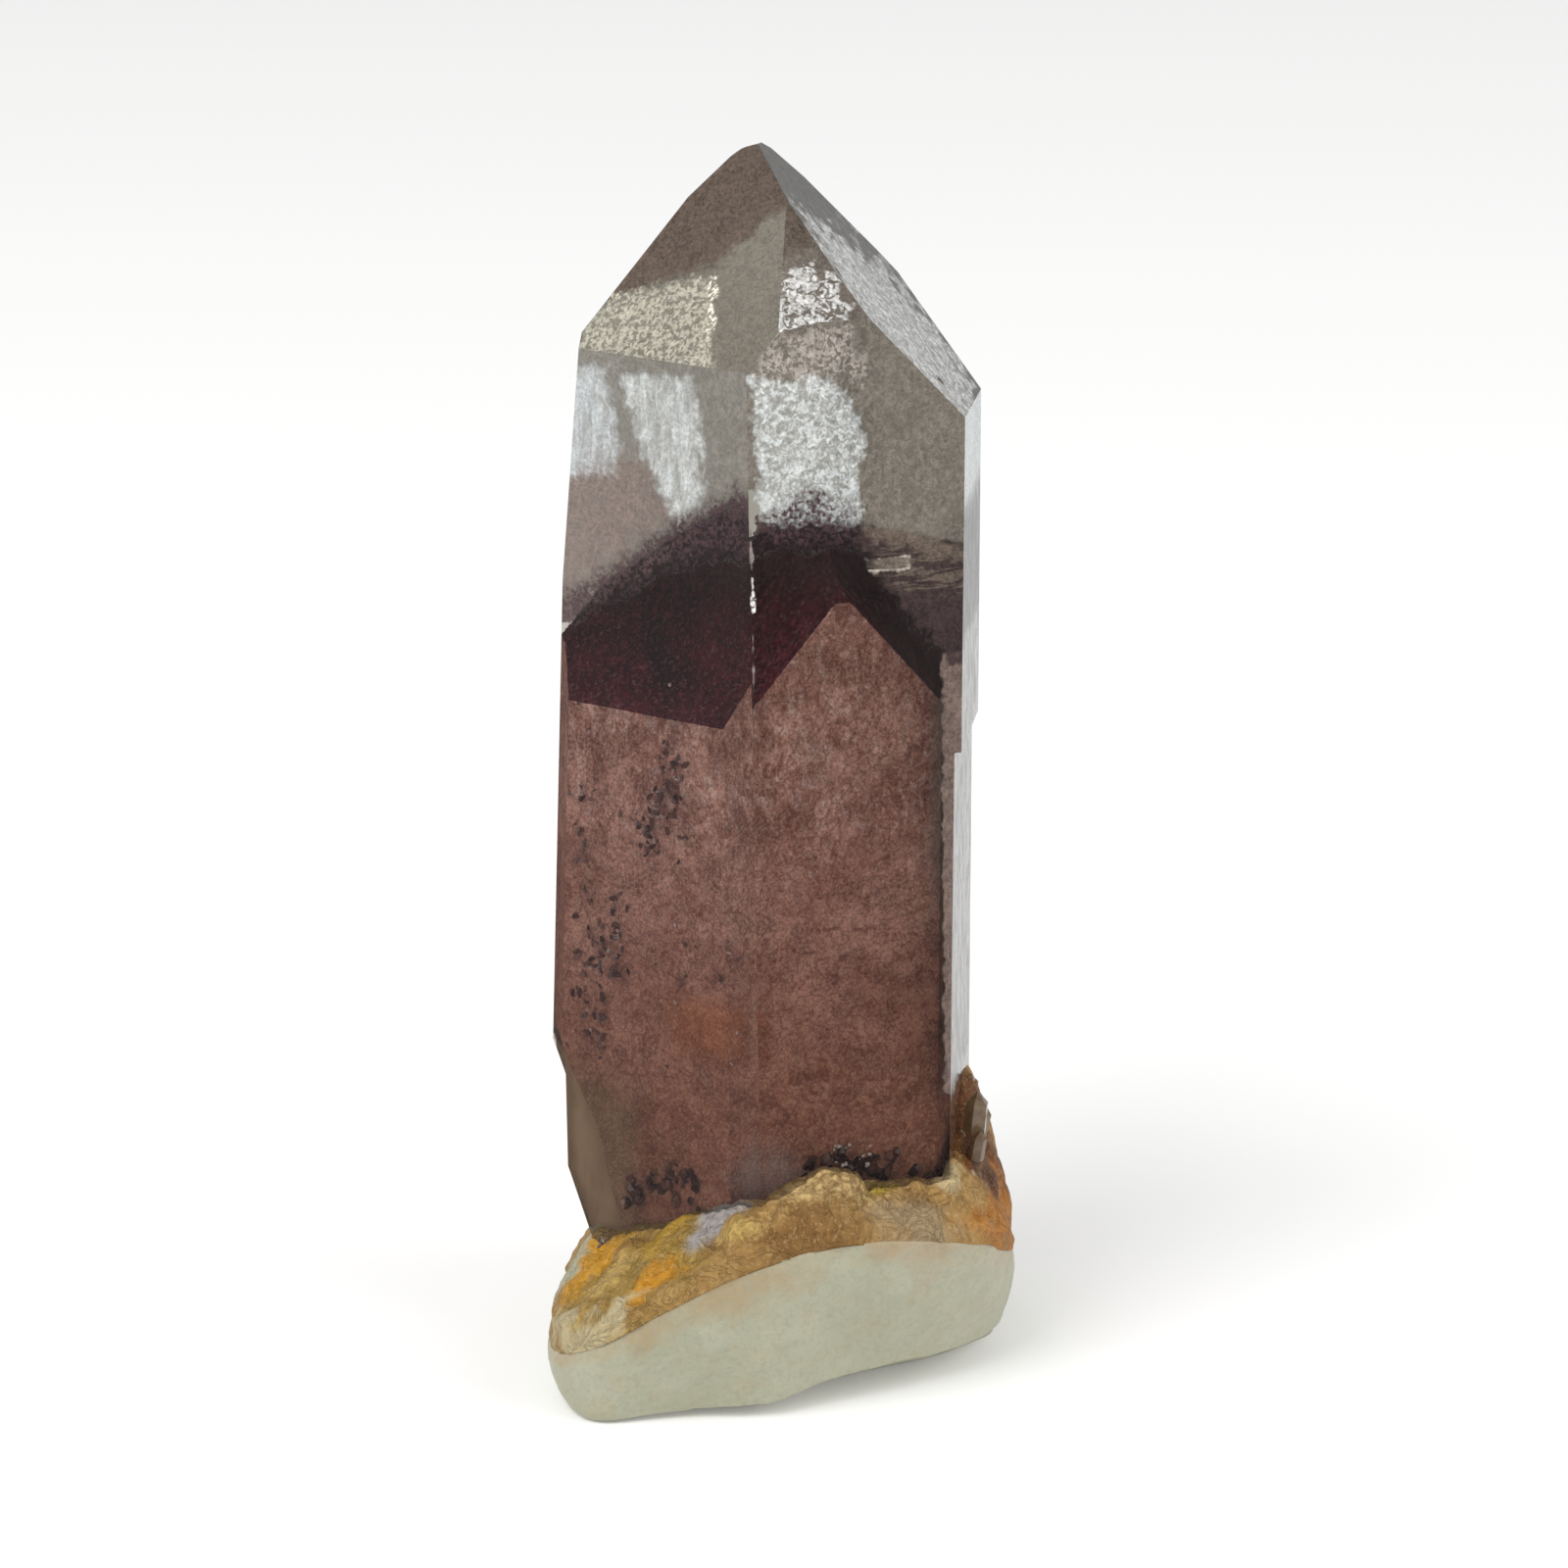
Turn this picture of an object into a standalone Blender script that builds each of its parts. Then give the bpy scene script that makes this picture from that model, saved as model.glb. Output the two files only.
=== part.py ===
"""Red phantom quartz crystal on its matrix.

A doubly grown quartz point: an early crystal, dusted red with hematite, is
enclosed by the clear crystal that grew over it. The point stands on an
iron-stained crust, and the crust lies on a small white rock whose underside is
a flat cut. Millimetres are used for the driving dimensions, +Z is up, and the
origin lies on the flat underside, below the crystal's axis.
"""
import math

import bmesh
import bpy
import numpy as np
from mathutils import Matrix, Vector, noise

MM = 0.001
GAP = 0.3
BLOCK_SIZE = 200.0

# Crystal habit: six prism faces m, and six end faces r and z above them
AXIS_LEAN = 1.6
PIVOT_HEIGHT = 30.0
FIRST_AZIMUTH = -37.8
PRISM_DISTANCE = [8.09, 7.88, 9.42, 8.50, 10.30, 11.15]
PRISM_TAPER = [0.0, 1.0, -0.1, 0.3, 0.0, 1.9]
END_HEIGHT = [63.6, 65.0, 61.6, 66.4, 66.0, 66.8]
END_TILT = [51.4, 51.4, 49.8, 51.6, 51.8, 52.5]

# The left prism face bends inward towards the top: the upper part's plane
LEFT_FACE = 5
UPPER_LEFT_DISTANCE = 11.76
UPPER_LEFT_TAPER = 4.9

# Worn tip: planes that touch a small sphere, in rings of one tilt from the axis,
# with the number of planes and the turn of the first
TIP_CENTRE = (-0.7, 1.4, 60.3)
TIP_RADIUS = 3.06
TIP_RINGS = [(36.0, 7, 17.0), (16.0, 5, 6.0)]

# Phantom: the same habit, this much smaller, with lower end faces
PHANTOM_DEPTH = [1.0, 2.4, 1.5, 1.3, 1.3, 1.1]
PHANTOM_END_HEIGHT = [44.4, 48.0, 45.7, 49.5, 47.4, 50.5]
PHANTOM_END_TILT = [51.8] * 6

# Root end of the quartz, a plane that rises to the right
ROOT_HEIGHT = 6.5
ROOT_RISE = 0.12
POCKET_THROUGH = 3.0

# Growth step low on the right prism face
STEP_FACE = 2
STEP_DEPTH = 0.33
STEP_TOP = 33.6

PROFILE_REACH = 16.0
PROFILE_GAP = 1.2 * GAP
# Left foot: side profile (x, z) of what is missing beside the root
FOOT_PROFILE = [(-15.0, 18.0), (-11.6, 17.4), (-10.9, 15.7), (-10.8, 10.8), (-9.4, 7.3), (-9.2, 2.0), (-15.0, 2.0)]
PHANTOM_FOOT_PROFILE = [(-15.0, 19.0), (-10.7, 17.6), (-8.4, 14.6), (-7.9, 2.0), (-15.0, 2.0)]

# Rock and crust outlines, anticlockwise from the right: x, y and z of the brow,
# the upper edge of the rock, then the crust's height where it meets the quartz
BROW = [
    (11.8, 2.0, 5.4, 15.4),
    (11.5, 7.0, 4.6, 12.0),
    (8.8, 11.0, 5.0, 9.2),
    (2.5, 13.0, 5.6, 8.8),
    (-4.0, 12.2, 4.8, 8.4),
    (-8.4, 9.4, 3.8, 7.6),
    (-10.3, 5.0, 3.2, 7.2),
    (-11.5, -1.8, 3.3, 7.6),
    (-11.8, -7.6, 2.9, 8.2),
    (-9.5, -11.1, 4.3, 9.2),
    (-5.9, -11.8, 6.5, 10.8),
    (-1.9, -11.5, 8.4, 12.8),
    (2.4, -10.5, 9.4, 13.6),
    (6.4, -8.9, 9.1, 12.3),
    (10.0, -6.3, 7.9, 11.8),
    (11.7, -2.4, 6.3, 13.2),
]
# Chin, the lower edge of the rock's side: x, y and z
CHIN = [
    (11.3, 2.2, 1.6),
    (11.0, 7.0, 1.2),
    (8.4, 10.7, 0.9),
    (2.3, 12.4, 0.8),
    (-4.0, 11.6, 0.8),
    (-8.4, 9.0, 0.8),
    (-10.6, 4.8, 0.8),
    (-11.4, -1.6, 0.7),
    (-11.3, -7.6, 0.5),
    (-9.5, -10.6, 0.2),
    (-5.2, -10.0, 0.5),
    (-1.2, -10.0, 0.8),
    (2.6, -8.5, 1.7),
    (6.2, -6.6, 1.8),
    (9.3, -4.0, 1.7),
    (11.0, -1.2, 1.6),
]
# Flat cut under the rock: x and y of its edge
CUT = [
    (11.0, 2.6),
    (10.4, 7.0),
    (7.9, 10.0),
    (2.2, 11.6),
    (-3.8, 10.8),
    (-7.9, 8.4),
    (-9.9, 4.5),
    (-10.8, -1.4),
    (-10.9, -7.4),
    (-9.2, -10.2),
    (-5.0, -8.6),
    (-1.4, -7.9),
    (1.6, -5.0),
    (4.6, -3.2),
    (7.6, -1.5),
    (9.8, 0.6),
]
RING_POINTS = 64
SIDE_SHARES = (0.3, 0.6, 0.88)
SHELF_SHARES = (0.0, 0.2, 0.45, 0.7, 1.0)
INNER_SHARES = (0.6, 0.25)
UNDER_QUARTZ = 0.8
SHELF_HEIGHT = 9.0
FOOT_RECESS = 2.5
ROCK_RISE = 0.45
ROCK_BULGE = 0.2
ROCK_LUMP = 0.22
ROCK_LUMP_SIZE = 3.2
CRUST_EDGE = 0.45
CRUST_INSET = 0.5
CRUST_CLIMB = 1.4
CRUST_LUMP = 0.38
CRUST_LUMP_SIZE = 1.5

# Small quartz points fused to the crust: azimuth from the right, share of the way
# from brow to quartz, radius, length and lean away from the quartz
DRUSE = [
    (221.0, 0.78, 1.0, 1.1, 30),
    (232.0, 0.74, 0.8, 1.4, 18),
    (243.0, 0.70, 0.7, 0.9, 34),
    (253.0, 0.68, 1.0, 1.0, 20),
    (267.0, 0.66, 0.7, 0.8, 30),
    (279.0, 0.60, 0.9, 0.7, 16),
    (289.0, 0.58, 0.7, 1.0, 24),
    (300.0, 0.58, 0.9, 0.8, 12),
    (312.0, 0.62, 0.8, 1.1, 22),
    (331.0, 0.64, 1.0, 1.0, 16),
    (345.0, 0.66, 0.9, 1.7, 8),
    (357.0, 0.60, 0.8, 1.2, 2),
    (40.0, 0.60, 1.1, 1.1, 26),
    (84.0, 0.60, 0.8, 0.9, 20),
    (127.0, 0.64, 1.0, 1.0, 28),
    (150.0, 0.64, 0.8, 0.8, 18),
]
DRUSE_ROOT = 0.6
SMALL_POINT_SIDES = 6
SMALL_POINT_TIP = 1.05

QUARTZ_TINT = (0.80, 0.76, 0.70, 1.0)
PHANTOM_RED = (0.20, 0.085, 0.075, 1.0)
CRUST_OCHRE = (0.42, 0.27, 0.10, 1.0)
ROCK_WHITE = (0.62, 0.61, 0.50, 1.0)


def clear_scene():
    for scene_object in list(bpy.data.objects):
        bpy.data.objects.remove(scene_object, do_unlink=True)


def make_material(name, colour, roughness, transmission=0.0):
    material = bpy.data.materials.new(name)
    material.use_nodes = True
    shader = material.node_tree.nodes["Principled BSDF"]
    shader.inputs["Base Color"].default_value = colour
    shader.inputs["Roughness"].default_value = roughness
    shader.inputs["Metallic"].default_value = 0.0
    shader.inputs["Transmission Weight"].default_value = transmission
    shader.inputs["IOR"].default_value = 1.544
    material.diffuse_color = colour
    return material


def add_object(name, bm, material=None):
    bmesh.ops.recalc_face_normals(bm, faces=bm.faces)
    mesh = bpy.data.meshes.new(name)
    bm.to_mesh(mesh)
    bm.free()
    new_object = bpy.data.objects.new(name, mesh)
    bpy.context.collection.objects.link(new_object)
    if material is not None:
        mesh.materials.append(material)
    return new_object


def as_cutter(cutter):
    cutter.hide_render = True
    cutter.display_type = "WIRE"
    return cutter


def add_boolean(target, operand, operation):
    modifier = target.modifiers.new(operation.title() + " " + operand.name, "BOOLEAN")
    modifier.operation = operation
    modifier.object = operand
    modifier.solver = "EXACT"
    return modifier


def leaning(point, normal):
    """Tip a plane back about the X axis through the pivot height on the axis."""
    lean = Matrix.Rotation(math.radians(-AXIS_LEAN), 3, "X")
    pivot = Vector((0.0, 0.0, PIVOT_HEIGHT))
    return lean @ (point - pivot) + pivot, lean @ normal


def prism_plane(index, distance, taper=None):
    azimuth = math.radians(FIRST_AZIMUTH + 60.0 * index)
    taper = math.radians(PRISM_TAPER[index] if taper is None else taper)
    outward = Vector((math.sin(azimuth), -math.cos(azimuth), 0.0))
    point = outward * distance + Vector((0.0, 0.0, PIVOT_HEIGHT))
    normal = outward * math.cos(taper) + Vector((0.0, 0.0, math.sin(taper)))
    return leaning(point, normal)


def end_plane(index, height, tilt, offset):
    azimuth = math.radians(FIRST_AZIMUTH + 60.0 * index)
    tilt = math.radians(tilt)
    outward = Vector((math.sin(azimuth), -math.cos(azimuth), 0.0))
    normal = outward * math.sin(tilt) + Vector((0.0, 0.0, math.cos(tilt)))
    return leaning(Vector((0.0, 0.0, height)) + normal * offset, normal)


def root_plane(drop):
    normal = Vector((ROOT_RISE, 0.0, -1.0)).normalized()
    return Vector((0.0, 0.0, ROOT_HEIGHT - drop)), normal


def habit_planes(distances, ends, offset, root_drop):
    """All faces of one crystal, each moved outward by the offset; ends are heights and tilts."""
    planes = [prism_plane(index, distance + offset) for index, distance in enumerate(distances)]
    planes += [end_plane(index, height, tilt, offset) for index, (height, tilt) in enumerate(ends)]
    planes.append(root_plane(root_drop))
    return planes


def tip_planes():
    """Planes that round the tip, all touching one small sphere."""
    planes = []
    for tilt, count, first in TIP_RINGS:
        for step in range(count):
            turn = math.radians(first + 360.0 * step / count)
            flat = math.sin(math.radians(tilt))
            normal = Vector((math.cos(turn) * flat, math.sin(turn) * flat, math.cos(math.radians(tilt))))
            planes.append((Vector(TIP_CENTRE) + normal * TIP_RADIUS, normal))
    return planes


def slice_block(bm, planes):
    """Cut a block down by one plane after another, closing each cut."""
    for point, normal in planes:
        geometry = bm.verts[:] + bm.edges[:] + bm.faces[:]
        cut = bmesh.ops.bisect_plane(
            bm, geom=geometry, plane_co=point * MM, plane_no=normal, clear_outer=True
        )
        rim = [item for item in cut["geom_cut"] if isinstance(item, bmesh.types.BMEdge)]
        bmesh.ops.contextual_create(bm, geom=rim)


def solid_from_planes(name, planes, material=None):
    bm = bmesh.new()
    bmesh.ops.create_cube(bm, size=BLOCK_SIZE * MM)
    slice_block(bm, planes)
    return add_object(name, bm, material)


def side_profile_cutter(name, profile, shift):
    """Extrude a side profile along the left prism face."""
    azimuth = math.radians(FIRST_AZIMUTH + 60.0 * LEFT_FACE)
    along = Vector((math.cos(azimuth), math.sin(azimuth), 0.0)) * PROFILE_REACH
    bm = bmesh.new()
    corners = [Vector((x - shift, 0.0, z - shift)) for x, z in profile]
    near = [bm.verts.new((corner + along) * MM) for corner in corners]
    face = bm.faces.new(near)
    swept = bmesh.ops.extrude_face_region(bm, geom=[face])
    far = [item for item in swept["geom"] if isinstance(item, bmesh.types.BMVert)]
    bmesh.ops.translate(bm, verts=far, vec=along * -2.0 * MM)
    return as_cutter(add_object(name, bm))


def growth_step_cutter():
    """The slab missing from the right prism face below the step."""
    point, normal = prism_plane(STEP_FACE, PRISM_DISTANCE[STEP_FACE] - STEP_DEPTH)
    top = Vector((0.0, 0.0, STEP_TOP))
    return as_cutter(solid_from_planes("step_cutter", [(point, -normal), (top, Vector((0.0, 0.0, 1.0)))]))


def closed_curve(points, samples):
    """Points read evenly from a closed Catmull-Rom curve through the given points."""
    knots = np.array(points, dtype=float)
    count = len(knots)
    position = np.arange(samples) * count / samples
    base = np.floor(position).astype(int)
    t = (position - base)[:, None]
    before, start, end, after = (knots[(base + shift) % count] for shift in (-1, 0, 1, 2))
    cubic = 3.0 * start - 3.0 * end + after - before
    square = 2.0 * before - 5.0 * start + 4.0 * end - after
    return 0.5 * (cubic * t**3 + square * t**2 + (end - before) * t + 2.0 * start)


def toward_axis(ring, inset):
    """Move a ring's points towards the axis by the inset."""
    radius = np.hypot(ring[:, 0], ring[:, 1])
    moved = ring.copy()
    moved[:, :2] *= ((radius - inset) / radius)[:, None]
    return moved


def lumpy(ring, size, amount, seed):
    """Push a ring's points in and out by smooth noise of the given size."""
    shifts = [noise.noise(Vector(point) / size + Vector((seed, 0.0, 0.0))) for point in ring]
    return toward_axis(ring, amount * np.array(shifts))


def stack_rings(name, rings, material):
    """Skin a stack of rings and close both ends with a fan of triangles."""
    bm = bmesh.new()
    loops = [[bm.verts.new(Vector(point) * MM) for point in ring] for ring in rings]
    count = len(loops[0])
    for lower, upper in zip(loops, loops[1:]):
        for i in range(count):
            j = (i + 1) % count
            bm.faces.new((lower[i], lower[j], upper[j], upper[i]))
    bmesh.ops.triangulate(bm, faces=bm.faces)
    ends = [bm.faces.new(loops[0][::-1]), bm.faces.new(loops[-1])]
    bmesh.ops.poke(bm, faces=ends)
    return add_object(name, bm, material)


def quartz_radius(ring):
    """How far the prism faces lie from the axis in each point's direction."""
    heading = ring[:, :2] / np.hypot(ring[:, 0], ring[:, 1])[:, None]
    radii = []
    distances = PRISM_DISTANCE[:-1] + [PRISM_DISTANCE[-1] - FOOT_RECESS]
    for index, distance in enumerate(distances):
        point, normal = prism_plane(index, distance)
        level = normal.dot(point) - normal.z * SHELF_HEIGHT
        facing = heading @ np.array(normal[:2])
        radii.append(np.where(facing > 0.1, level / np.maximum(facing, 0.1), np.inf))
    return np.min(radii, axis=0)


def shelf_rings(outer, rise, climb, lump):
    """Rings from an outer edge up to the quartz and on under it to the axis."""
    junction = closed_curve([point[3:] for point in BROW], RING_POINTS)[:, 0]
    radius = np.hypot(outer[:, 0], outer[:, 1])
    narrowing = (quartz_radius(outer) - UNDER_QUARTZ) / radius - 1.0
    rings = []
    for share in SHELF_SHARES:
        ring = outer.copy()
        ring[:, :2] *= (1.0 + narrowing * share)[:, None]
        ring[:, 2] += (junction - outer[:, 2]) * rise * (1.0 - (1.0 - share) ** climb)
        if share > 0.0:
            ring[:, 2] += [lump * noise.noise(Vector(point) / CRUST_LUMP_SIZE) for point in ring]
        rings.append(ring)
    for share in INNER_SHARES:
        ring = rings[len(SHELF_SHARES) - 1] * share
        ring[:, 2] += (1.0 - share) * rings[len(SHELF_SHARES) - 1][:, 2].mean()
        rings.append(ring)
    return rings


def rock_top_rings():
    brow = closed_curve([point[:3] for point in BROW], RING_POINTS)
    return shelf_rings(lumpy(brow, ROCK_LUMP_SIZE, ROCK_LUMP, 3.0), ROCK_RISE, 1.0, 0.0)


def crust_under_rings():
    """The rock's top, raised by the gap and drawn in a little at the brow."""
    rings = rock_top_rings()
    for ring in rings:
        ring[:, 2] += GAP
    rings[0] = rings[0] * (1.0 - CRUST_INSET) + rings[1] * CRUST_INSET
    return rings


def crust_top_rings():
    edge = crust_under_rings()[0]
    edge[:, 2] += CRUST_EDGE
    return shelf_rings(edge, 1.0, CRUST_CLIMB, CRUST_LUMP)


def make_rock(material):
    chin = closed_curve(CHIN, RING_POINTS)
    cut = closed_curve([(x, y, 0.0) for x, y in CUT], RING_POINTS)
    brow = closed_curve([point[:3] for point in BROW], RING_POINTS)
    rings = [cut, lumpy(chin, ROCK_LUMP_SIZE, ROCK_LUMP, 1.0)]
    for share in SIDE_SHARES:
        side = chin * (1.0 - share) + brow * share
        side = toward_axis(side, -ROCK_BULGE * math.sin(math.pi * share))
        rings.append(lumpy(side, ROCK_LUMP_SIZE, ROCK_LUMP, 1.0))
    rings += rock_top_rings()
    return stack_rings("matrix_rock", rings, material)


def make_crust(material):
    """The crust between rock and quartz, before the quartz is cut out of it."""
    return stack_rings("iron_crust", crust_under_rings()[::-1] + crust_top_rings(), material)


def small_point(index, place):
    """A six-sided prism with a pyramid tip, leaning out from the crust."""
    azimuth, share, radius, length, lean = place
    rings = crust_top_rings()
    direction = np.degrees(np.arctan2(rings[0][:, 1], rings[0][:, 0])) % 360.0
    nearest = int(np.argmin(np.abs(direction - azimuth)))
    track = np.array([ring[nearest] for ring in rings[: len(SHELF_SHARES)]])
    root = [np.interp(share, SHELF_SHARES, track[:, axis]) for axis in range(3)]
    root[2] -= DRUSE_ROOT
    bm = bmesh.new()
    circle = bmesh.ops.create_circle(bm, cap_ends=True, segments=SMALL_POINT_SIDES, radius=radius * MM)
    base = list({face for vert in circle["verts"] for face in vert.link_faces})
    body = bmesh.ops.extrude_face_region(bm, geom=base)
    upper = [item for item in body["geom"] if isinstance(item, bmesh.types.BMVert)]
    bmesh.ops.translate(bm, verts=upper, vec=(0.0, 0.0, length * MM))
    cap = [item for item in body["geom"] if isinstance(item, bmesh.types.BMFace)]
    tip = bmesh.ops.poke(bm, faces=cap)["verts"]
    bmesh.ops.translate(bm, verts=tip, vec=(0.0, 0.0, SMALL_POINT_TIP * radius * MM))
    turn = Matrix.Rotation(math.radians(azimuth), 4, "Z") @ Matrix.Rotation(math.radians(lean), 4, "Y")
    bmesh.ops.transform(bm, matrix=Matrix.Translation(Vector(root) * MM) @ turn, verts=bm.verts)
    return as_cutter(add_object(f"druse_point_{index}", bm))


def main():
    clear_scene()
    quartz_glass = make_material("clear_quartz", QUARTZ_TINT, 0.05, 1.0)
    hematite_red = make_material("hematite_phantom", PHANTOM_RED, 0.45)
    limonite = make_material("iron_crust", CRUST_OCHRE, 0.8)
    white_rock = make_material("white_rock", ROCK_WHITE, 0.6)

    phantom_distances = [outer - depth for outer, depth in zip(PRISM_DISTANCE, PHANTOM_DEPTH)]
    phantom_ends = list(zip(PHANTOM_END_HEIGHT, PHANTOM_END_TILT))
    quartz_ends = list(zip(END_HEIGHT, END_TILT))

    quartz_faces = habit_planes(PRISM_DISTANCE, quartz_ends, 0.0, 0.0)
    quartz_faces.append(prism_plane(LEFT_FACE, UPPER_LEFT_DISTANCE, UPPER_LEFT_TAPER))
    quartz = solid_from_planes("quartz_crystal", quartz_faces + tip_planes(), quartz_glass)
    add_boolean(quartz, side_profile_cutter("foot_cutter", FOOT_PROFILE, 0.0), "DIFFERENCE")
    add_boolean(quartz, growth_step_cutter(), "DIFFERENCE")
    pocket = as_cutter(
        solid_from_planes("pocket_cutter", habit_planes(phantom_distances, phantom_ends, GAP, POCKET_THROUGH))
    )
    pocket_foot = side_profile_cutter("pocket_foot_cutter", PHANTOM_FOOT_PROFILE, PROFILE_GAP)
    add_boolean(pocket, pocket_foot, "DIFFERENCE")
    add_boolean(quartz, pocket, "DIFFERENCE")

    phantom = solid_from_planes(
        "red_phantom", habit_planes(phantom_distances, phantom_ends, 0.0, 0.0), hematite_red
    )
    add_boolean(phantom, side_profile_cutter("phantom_foot_cutter", PHANTOM_FOOT_PROFILE, 0.0), "DIFFERENCE")

    socket = as_cutter(
        solid_from_planes("socket_cutter", habit_planes(PRISM_DISTANCE, quartz_ends, GAP, GAP))
    )
    add_boolean(socket, side_profile_cutter("socket_foot_cutter", FOOT_PROFILE, PROFILE_GAP), "DIFFERENCE")

    rock = make_rock(white_rock)
    add_boolean(rock, socket, "DIFFERENCE")

    crust = make_crust(limonite)
    for index, place in enumerate(DRUSE):
        add_boolean(crust, small_point(index, place), "UNION")
    add_boolean(crust, socket, "DIFFERENCE")


main()
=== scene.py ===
"""Looks of the red phantom quartz crystal on its matrix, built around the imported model.

Sizes are in millimetres in the code and are written to the meshes in metres. The
point, the phantom, the crust and the rock are surfaces worked out as arrays: plane
intersections for the crystals, and stacked rings for the crust and the rock.
"""
import itertools
import math

import bmesh
import bpy
import numpy as np
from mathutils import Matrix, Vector


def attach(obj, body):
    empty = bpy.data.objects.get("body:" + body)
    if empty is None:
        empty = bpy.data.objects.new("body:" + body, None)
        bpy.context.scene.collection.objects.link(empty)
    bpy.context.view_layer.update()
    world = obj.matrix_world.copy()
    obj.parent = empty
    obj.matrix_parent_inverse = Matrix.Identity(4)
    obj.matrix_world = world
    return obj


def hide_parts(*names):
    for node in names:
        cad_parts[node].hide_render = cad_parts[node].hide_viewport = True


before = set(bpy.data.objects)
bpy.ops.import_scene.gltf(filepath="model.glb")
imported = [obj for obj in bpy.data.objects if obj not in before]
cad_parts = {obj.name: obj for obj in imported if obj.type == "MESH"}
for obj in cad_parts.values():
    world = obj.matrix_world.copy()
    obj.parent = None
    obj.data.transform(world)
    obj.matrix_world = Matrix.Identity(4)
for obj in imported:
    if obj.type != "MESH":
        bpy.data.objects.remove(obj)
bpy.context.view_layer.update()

bl_info = {
    "name": "Phantom Quartz Specimen",
    "version": (1, 0, 0),
    "blender": (4, 5, 0),
    "location": "View3D > Sidebar > Phantom Quartz",
    "description": "Clear quartz point with a red phantom, on an ochre crust and a white rock",
    "category": "Add Mesh",
}

MM = 0.001
QUARTZ_IOR = 1.544

# Crystal habit, as in the model: six prism faces, then six end faces above them
AXIS_LEAN = 1.6
PIVOT_HEIGHT = 30.0
FIRST_AZIMUTH = -37.8
PRISM_DISTANCE = (8.09, 7.88, 9.42, 8.50, 10.30, 11.15)
PRISM_TAPER = (0.0, 1.0, -0.1, 0.3, 0.0, 1.9)
END_HEIGHT = (63.6, 65.0, 61.6, 66.4, 66.0, 66.8)
END_TILT = (51.4, 51.4, 49.8, 51.6, 51.8, 52.5)
UPPER_LEFT_DISTANCE = 11.76
UPPER_LEFT_TAPER = 4.9
PHANTOM_DEPTH = (0.9, 2.4, 1.6, 1.3, 1.3, 0.6)
PHANTOM_END_HEIGHT = (44.4, 48.0, 45.7, 49.5, 47.4, 50.9)
PHANTOM_END_TILT = (51.8, 51.8, 51.8, 51.8, 51.8, 51.8)
ROOT_HEIGHT = 6.5
ROOT_RISE = 0.12
STEP_FACE = 2
STEP_DEPTH = 0.33
STEP_TOP = 33.6
LEFT_FACE = 5

# Recess over the root on the left, as side profiles in x and z, and the cloud behind it
PROFILE_REACH = 16.0
FOOT_PROFILE = (
    (-15.0, 18.0), (-11.6, 17.4), (-10.9, 15.7), (-10.8, 10.8), (-9.4, 7.3), (-9.2, 2.0), (-15.0, 2.0)
)
PHANTOM_FOOT_PROFILE = (
    (-15.0, 18.4), (-11.2, 17.8), (-10.55, 16.0), (-8.9, 13.0),
    (-8.3, 10.5), (-7.3, 7.3), (-7.0, 2.0), (-15.0, 2.0),
)
FOOT_RECESS = 2.5
CLOUD_DEPTH = (1.1, 2.6, 1.8, 1.5, 1.5, 0.5)
CLOUD_RIGHT_END = -5.0
CLOUD_TOP = 18.6
CLOUD_GAP = 0.18

# Rim of rock and crust, anticlockwise from the right. Each row: the brow's x, y and z
# and the height at which the crust meets the quartz, the chin's x, y and z, the cut's x and y
RIM = np.array((
    (11.8, 2.0, 5.4, 15.4, 11.3, 2.2, 1.6, 11.0, 2.6),
    (11.5, 7.0, 4.6, 12.0, 11.0, 7.0, 1.2, 10.4, 7.0),
    (8.8, 11.0, 5.0, 9.2, 8.4, 10.7, 0.9, 7.9, 10.0),
    (2.5, 13.0, 5.6, 8.8, 2.3, 12.4, 0.8, 2.2, 11.6),
    (-4.0, 12.2, 4.8, 8.4, -4.0, 11.6, 0.8, -3.8, 10.8),
    (-8.4, 9.4, 3.8, 7.6, -8.4, 9.0, 0.8, -7.9, 8.4),
    (-10.3, 5.0, 3.2, 7.2, -10.6, 4.8, 0.8, -9.9, 4.5),
    (-11.5, -1.8, 3.3, 7.6, -11.4, -1.6, 0.7, -10.8, -1.4),
    (-11.8, -7.6, 2.9, 8.2, -11.3, -7.6, 0.5, -10.9, -7.4),
    (-9.5, -11.1, 4.3, 9.2, -9.5, -10.6, 0.2, -9.2, -10.2),
    (-5.9, -11.8, 6.5, 9.9, -5.2, -10.0, 0.5, -5.0, -8.6),
    (-1.9, -11.5, 8.4, 11.3, -1.2, -10.0, 0.8, -1.4, -7.9),
    (2.4, -10.5, 9.4, 12.2, 2.6, -8.5, 1.7, 1.6, -5.0),
    (6.4, -8.9, 9.1, 11.2, 6.2, -6.6, 1.8, 4.6, -3.2),
    (10.0, -6.3, 7.9, 11.2, 9.3, -4.0, 1.7, 7.6, -1.5),
    (11.7, -2.4, 6.3, 13.2, 11.0, -1.2, 1.6, 9.8, 0.6),
))
SHELF_HEIGHT = 9.0
UNDER_QUARTZ = 0.8
ROCK_AROUND = 420
ROCK_CUT_SHARES = (0.4, 0.7, 0.9, 0.98)
ROCK_CHIN_SHARES = (0.0, 0.15, 0.4, 0.7)
ROCK_SIDE_RINGS = 70
ROCK_TOP_RINGS = 40
ROCK_TOP_RISE = 0.45
CRUST_AROUND = 560
CRUST_STEPS = 60

# Worn tip: planes that touch a small sphere, in rings of tilt from the axis,
# number of planes and turn of the first
TIP_CENTRE = (-0.7, 1.4, 60.15)
TIP_RADIUS = 3.06
TIP_RINGS = ((46.0, 9, 3.0), (36.0, 7, 17.0), (26.0, 7, 40.0), (16.0, 5, 6.0), (6.0, 4, 30.0))

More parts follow.
